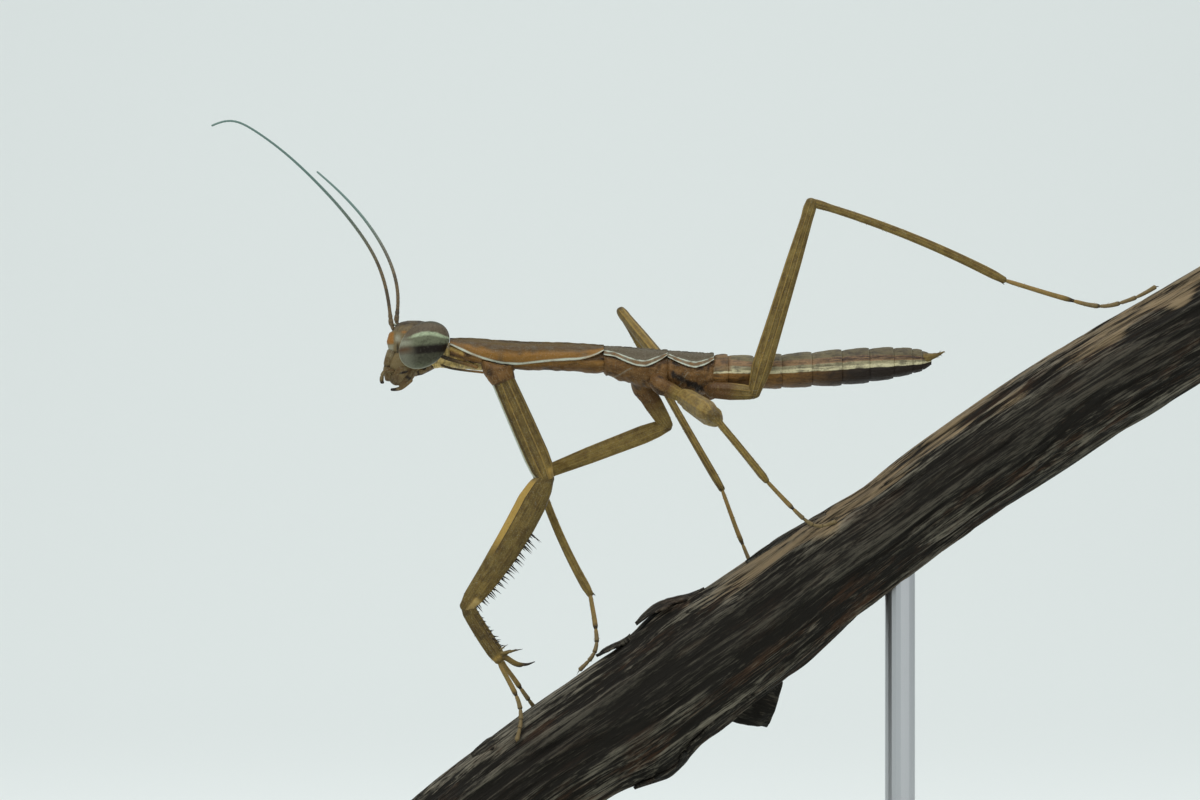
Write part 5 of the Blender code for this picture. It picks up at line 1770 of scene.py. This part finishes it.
def limb_marks(pair, part, seed):
    """Marks of a limb: its level for the keels, blotches, and darker ends. Grasping
    femora carry a flange along the first half of their outer edge, and grasping coxae
    a pale front edge."""
    grasping = pair == "foreleg"

    def marks(share, turn):
        level = (cosd(turn) + 1.0) / 2.0
        blotch = patches(seed, 11, 5, share, turn / 360.0)
        ends = bump(share, 0.0, 0.03) + bump(share, 1.0, 0.035)
        dark, warm = 0.22 * ramp(blotch, 0.55, 0.85) + 0.35 * ends, 0.20 * ramp(blotch, 0.38, 0.20)
        given = {"level": level, "lined": LINED.get(f"{pair}_{part}", 0.75), "dark": dark,
                 "warm": warm, "pale": 0.0}
        if grasping and part == "coxa":
            lobe = ramp(share, 0.90, 0.96) * ramp(level, 0.5, 0.2)
            # The pale front edge is a pale keel and partly a painted highlight along it.
            given["pale"] = 0.9 * ramp(level, 0.93, 0.97)
            given["dark"] = dark + 0.6 * bump(level, 0.88, 0.05) + 0.6 * ramp(share, 0.09, 0.03)
            given["warm"] = np.maximum(warm, 0.6 * lobe)
        elif grasping and part == "femur":
            lobe = ramp(share, 0.88, 0.93) * ramp(level, 0.62, 0.35)
            given["flange"] = ramp(share, 0.66, 0.46) * ramp(share, 0.02, 0.08)
            given["dark"] = dark + 0.4 * bump(share, 0.40, 0.05) * bump(level, 0.55, 0.12)
            given["warm"] = np.maximum(warm, 0.6 * lobe)
            given["pale"] = 0.22 * lobe
        elif grasping:
            given["dark"] = dark + 0.28
            given["warm"] = 0.8 * ramp(share, 0.86, 1.0)
        elif part == "coxa":
            given["stripe"] = 0.9 * ramp(share, 0.9, 0.25)
        return given

    return marks


def keeled(share, turn):
    """Low keels at their levels across a limb, which fade out at its ends."""
    level = (cosd(turn) + 1.0) / 2.0
    middle = ramp(share, 0.0, 0.1) * ramp(share, 1.0, 0.9)
    keels = sum(bump(level, keel, 0.05) for keel in KEELS)
    return 1.0 + middle * (0.07 * keels - 0.05 * bump(level, 0.5, 0.08))


class MANTIS_OT_legs(bpy.types.Operator):
    """Builds one pair of legs with their spines, spurs, claws and hairs"""
    bl_idname = "mantis.legs"
    bl_label = "Legs"
    pair: bpy.props.StringProperty(name="Pair", description="foreleg, midleg or hindleg",
                                   default="foreleg")

    def execute(self, context):
        tones, sizes = context.scene.mantis_colours, context.scene.mantis_sizes
        # Lit and shaded copies of the leg tones, one per pair: painted light and shade, the mid legs
        # lifted where they face down, away from the lamps.
        light = {"foreleg": 0.82, "midleg": 1.35, "hindleg": 1.08}[self.pair]
        ground, shade = np.multiply(tones.leg, light), np.multiply(tones.leg_shade, light)
        shell = limb_finish(f"{self.pair}_shell", tones, ground, shade, tones.straw, tones.flank)
        feet = shell_finish(f"{self.pair}_foot_shell", tones, tones.foot, tones.leg, tones.straw,
                            tones.cheek)
        for hand in HANDS:
            leg = Leg(self.pair, hand)
            extras = self.extras(leg, sizes)
            for part in ("coxa", "femur", "tibia"):
                limb = leg.limb(part, keeled, limb_marks(self.pair, part, leg.seed))
                surfaces = [limb, leg.hairs(part, 60, sizes.hair / MM), *extras.get(part, [])]
                piece_of(f"{self.pair}_{part}_{hand}_shell", surfaces, shell, [leg.names[part]])
            surfaces = leg.foot(sizes.foot_width / MM)
            piece_of(f"{self.pair}_foot_{hand}", surfaces, feet, [leg.names["tarsus"]])
        return {"FINISHED"}

    def extras(self, leg, sizes):
        """Spines, spurs and claws by the limb that carries them."""
        if self.pair != "foreleg":
            return {"femur": [leg.spurs("femur", 0.36, (90.0, 270.0))],
                    "tibia": [leg.spurs("tibia", 0.55, (150.0, 210.0))]}
        long, small = sizes.femur_spine / MM, sizes.tibia_spine / MM
        turn = 0.0 if leg.hand == "left" else 50.0
        coxa = leg.spine_rows("coxa", 0.12, 0.9, 9, 0.14, 0.12, 0.07, (4.0,), 0.2)
        femur = leg.spine_rows("femur", 0.37, 0.95, 13, long, long * 0.62, 0.15, (160.0, 202.0), 0.02)
        tibia = leg.spine_rows("tibia", 0.18, 0.84, 8, small * 0.4, small, 0.13, (168.0, 194.0), 0.35)
        return {"coxa": coxa, "femur": femur, "tibia": [*tibia, *leg.claw(turn)]}


class MANTIS_OT_branch(bpy.types.Operator):
    """Builds the length of branch with its bark, flaps and broken stub"""
    bl_idname = "mantis.branch"
    bl_label = "Branch"

    def execute(self, context):
        perch = context.scene.mantis_perch
        bark = Bark(perch.relief / MM)
        piece_of("bark", bark.surfaces(), bark_finish(perch), ["branch"])
        return {"FINISHED"}


class MANTIS_OT_stand(bpy.types.Operator):
    """Gives the display stand its paint and its satin steel"""
    bl_idname = "mantis.stand"
    bl_label = "Display stand"

    def execute(self, context):
        perch = context.scene.mantis_perch
        paint, steel = paint_finish(perch.paint), steel_finish(perch.steel)
        for name, finish in (("base", paint), ("rod_low", steel), ("rod_high", steel)):
            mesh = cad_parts[f"stand_{name}"].data
            mesh.materials.clear()
            mesh.materials.append(finish)
        return {"FINISHED"}


class MANTIS_OT_stage(bpy.types.Operator):
    """Builds the floor, backdrop, lights and camera"""
    bl_idname = "mantis.stage"
    bl_label = "Stage"

    def execute(self, context):
        scene = context.scene
        stage = scene.mantis_stage
        scene.view_settings.view_transform = "Standard"
        surface = merged([sweep(3600.0, 900.0, 480.0, 1100.0)])
        mesh = bpy.data.meshes.new("backdrop")
        mesh.from_pydata((surface.points * MM).tolist(), [], surface.quads.tolist())
        mesh.polygons.foreach_set("use_smooth", np.ones(len(mesh.polygons), bool))
        mesh.materials.append(Finish("backdrop_paper", stage.backdrop).surface(roughness=0.9))
        floor = bpy.data.objects.new("backdrop", mesh)
        scene.collection.objects.link(floor)
        centre = np.array([stage.centre_x / MM, 0.0, stage.centre_z / MM])
        # Name, place and target off the view's centre, size, and share of the key's power
        for name, place, target, size, share in (
                ("key", (-140.0, -220.0, 440.0), (0.0, 0.0, 0.0), 300.0, 1.0),
                ("fill", (330.0, -380.0, 160.0), (0.0, 0.0, 0.0), 360.0, 0.22),
                ("back", (120.0, 120.0, 460.0), (0.0, 0.0, 0.0), 260.0, 0.35),
                ("wash", (0.0, 600.0, 460.0), (0.0, 1000.0, 60.0), 500.0, 0.6)):
            softbox(name, centre + place, centre + target, size, stage.key * share)
        world = bpy.data.worlds.new("studio")
        world.use_nodes = True
        background = world.node_tree.nodes["Background"].inputs
        background["Color"].default_value = (0.92, 0.97, 1.0, 1.0)
        background["Strength"].default_value = stage.sky
        scene.world = world
        camera = bpy.data.cameras.new("camera")
        camera.sensor_width = 36.0
        camera.lens = 36.0 * stage.distance / stage.view_width
        camera.clip_start, camera.clip_end = 0.01, 10.0
        holder = bpy.data.objects.new("camera", camera)
        holder.location = (stage.centre_x, -stage.distance, stage.centre_z)
        holder.rotation_euler = (math.pi / 2.0, 0.0, 0.0)
        scene.collection.objects.link(holder)
        scene.camera = holder
        return {"FINISHED"}


class MANTIS_PT_panel(bpy.types.Panel):
    """Settings and build buttons in the sidebar"""
    bl_idname = "MANTIS_PT_panel"
    bl_label = "Mantis"
    bl_space_type = "VIEW_3D"
    bl_region_type = "UI"
    bl_category = "Mantis"

    def draw(self, context):
        layout = self.layout
        for name, group in GROUPS.items():
            box = layout.box()
            box.label(text=group.__doc__.split(".")[0])
            for word in group.__annotations__:
                box.prop(getattr(context.scene, name), word)
        for operator in OPERATORS:
            layout.operator(operator.bl_idname)


OPERATORS = (MANTIS_OT_head, MANTIS_OT_eyes, MANTIS_OT_mouth, MANTIS_OT_neck,
             MANTIS_OT_feelers, MANTIS_OT_thorax, MANTIS_OT_abdomen, MANTIS_OT_legs,
             MANTIS_OT_branch, MANTIS_OT_stand, MANTIS_OT_stage)


def register():
    for group in (*GROUPS.values(), *OPERATORS, MANTIS_PT_panel):
        bpy.utils.register_class(group)
    for name, group in GROUPS.items():
        setattr(bpy.types.Scene, name, bpy.props.PointerProperty(type=group))


def unregister():
    for name in GROUPS:
        delattr(bpy.types.Scene, name)
    for group in reversed((*GROUPS.values(), *OPERATORS, MANTIS_PT_panel)):
        bpy.utils.unregister_class(group)


def main():
    register()
    bpy.ops.mantis.head()
    bpy.ops.mantis.eyes()
    bpy.ops.mantis.mouth()
    bpy.ops.mantis.neck()
    bpy.ops.mantis.feelers()
    bpy.ops.mantis.thorax()
    bpy.ops.mantis.abdomen()
    for pair in ("foreleg", "midleg", "hindleg"):
        bpy.ops.mantis.legs(pair=pair)
    bpy.ops.mantis.branch()
    bpy.ops.mantis.stand()
    bpy.ops.mantis.stage()


if __name__ == "__main__":
    main()
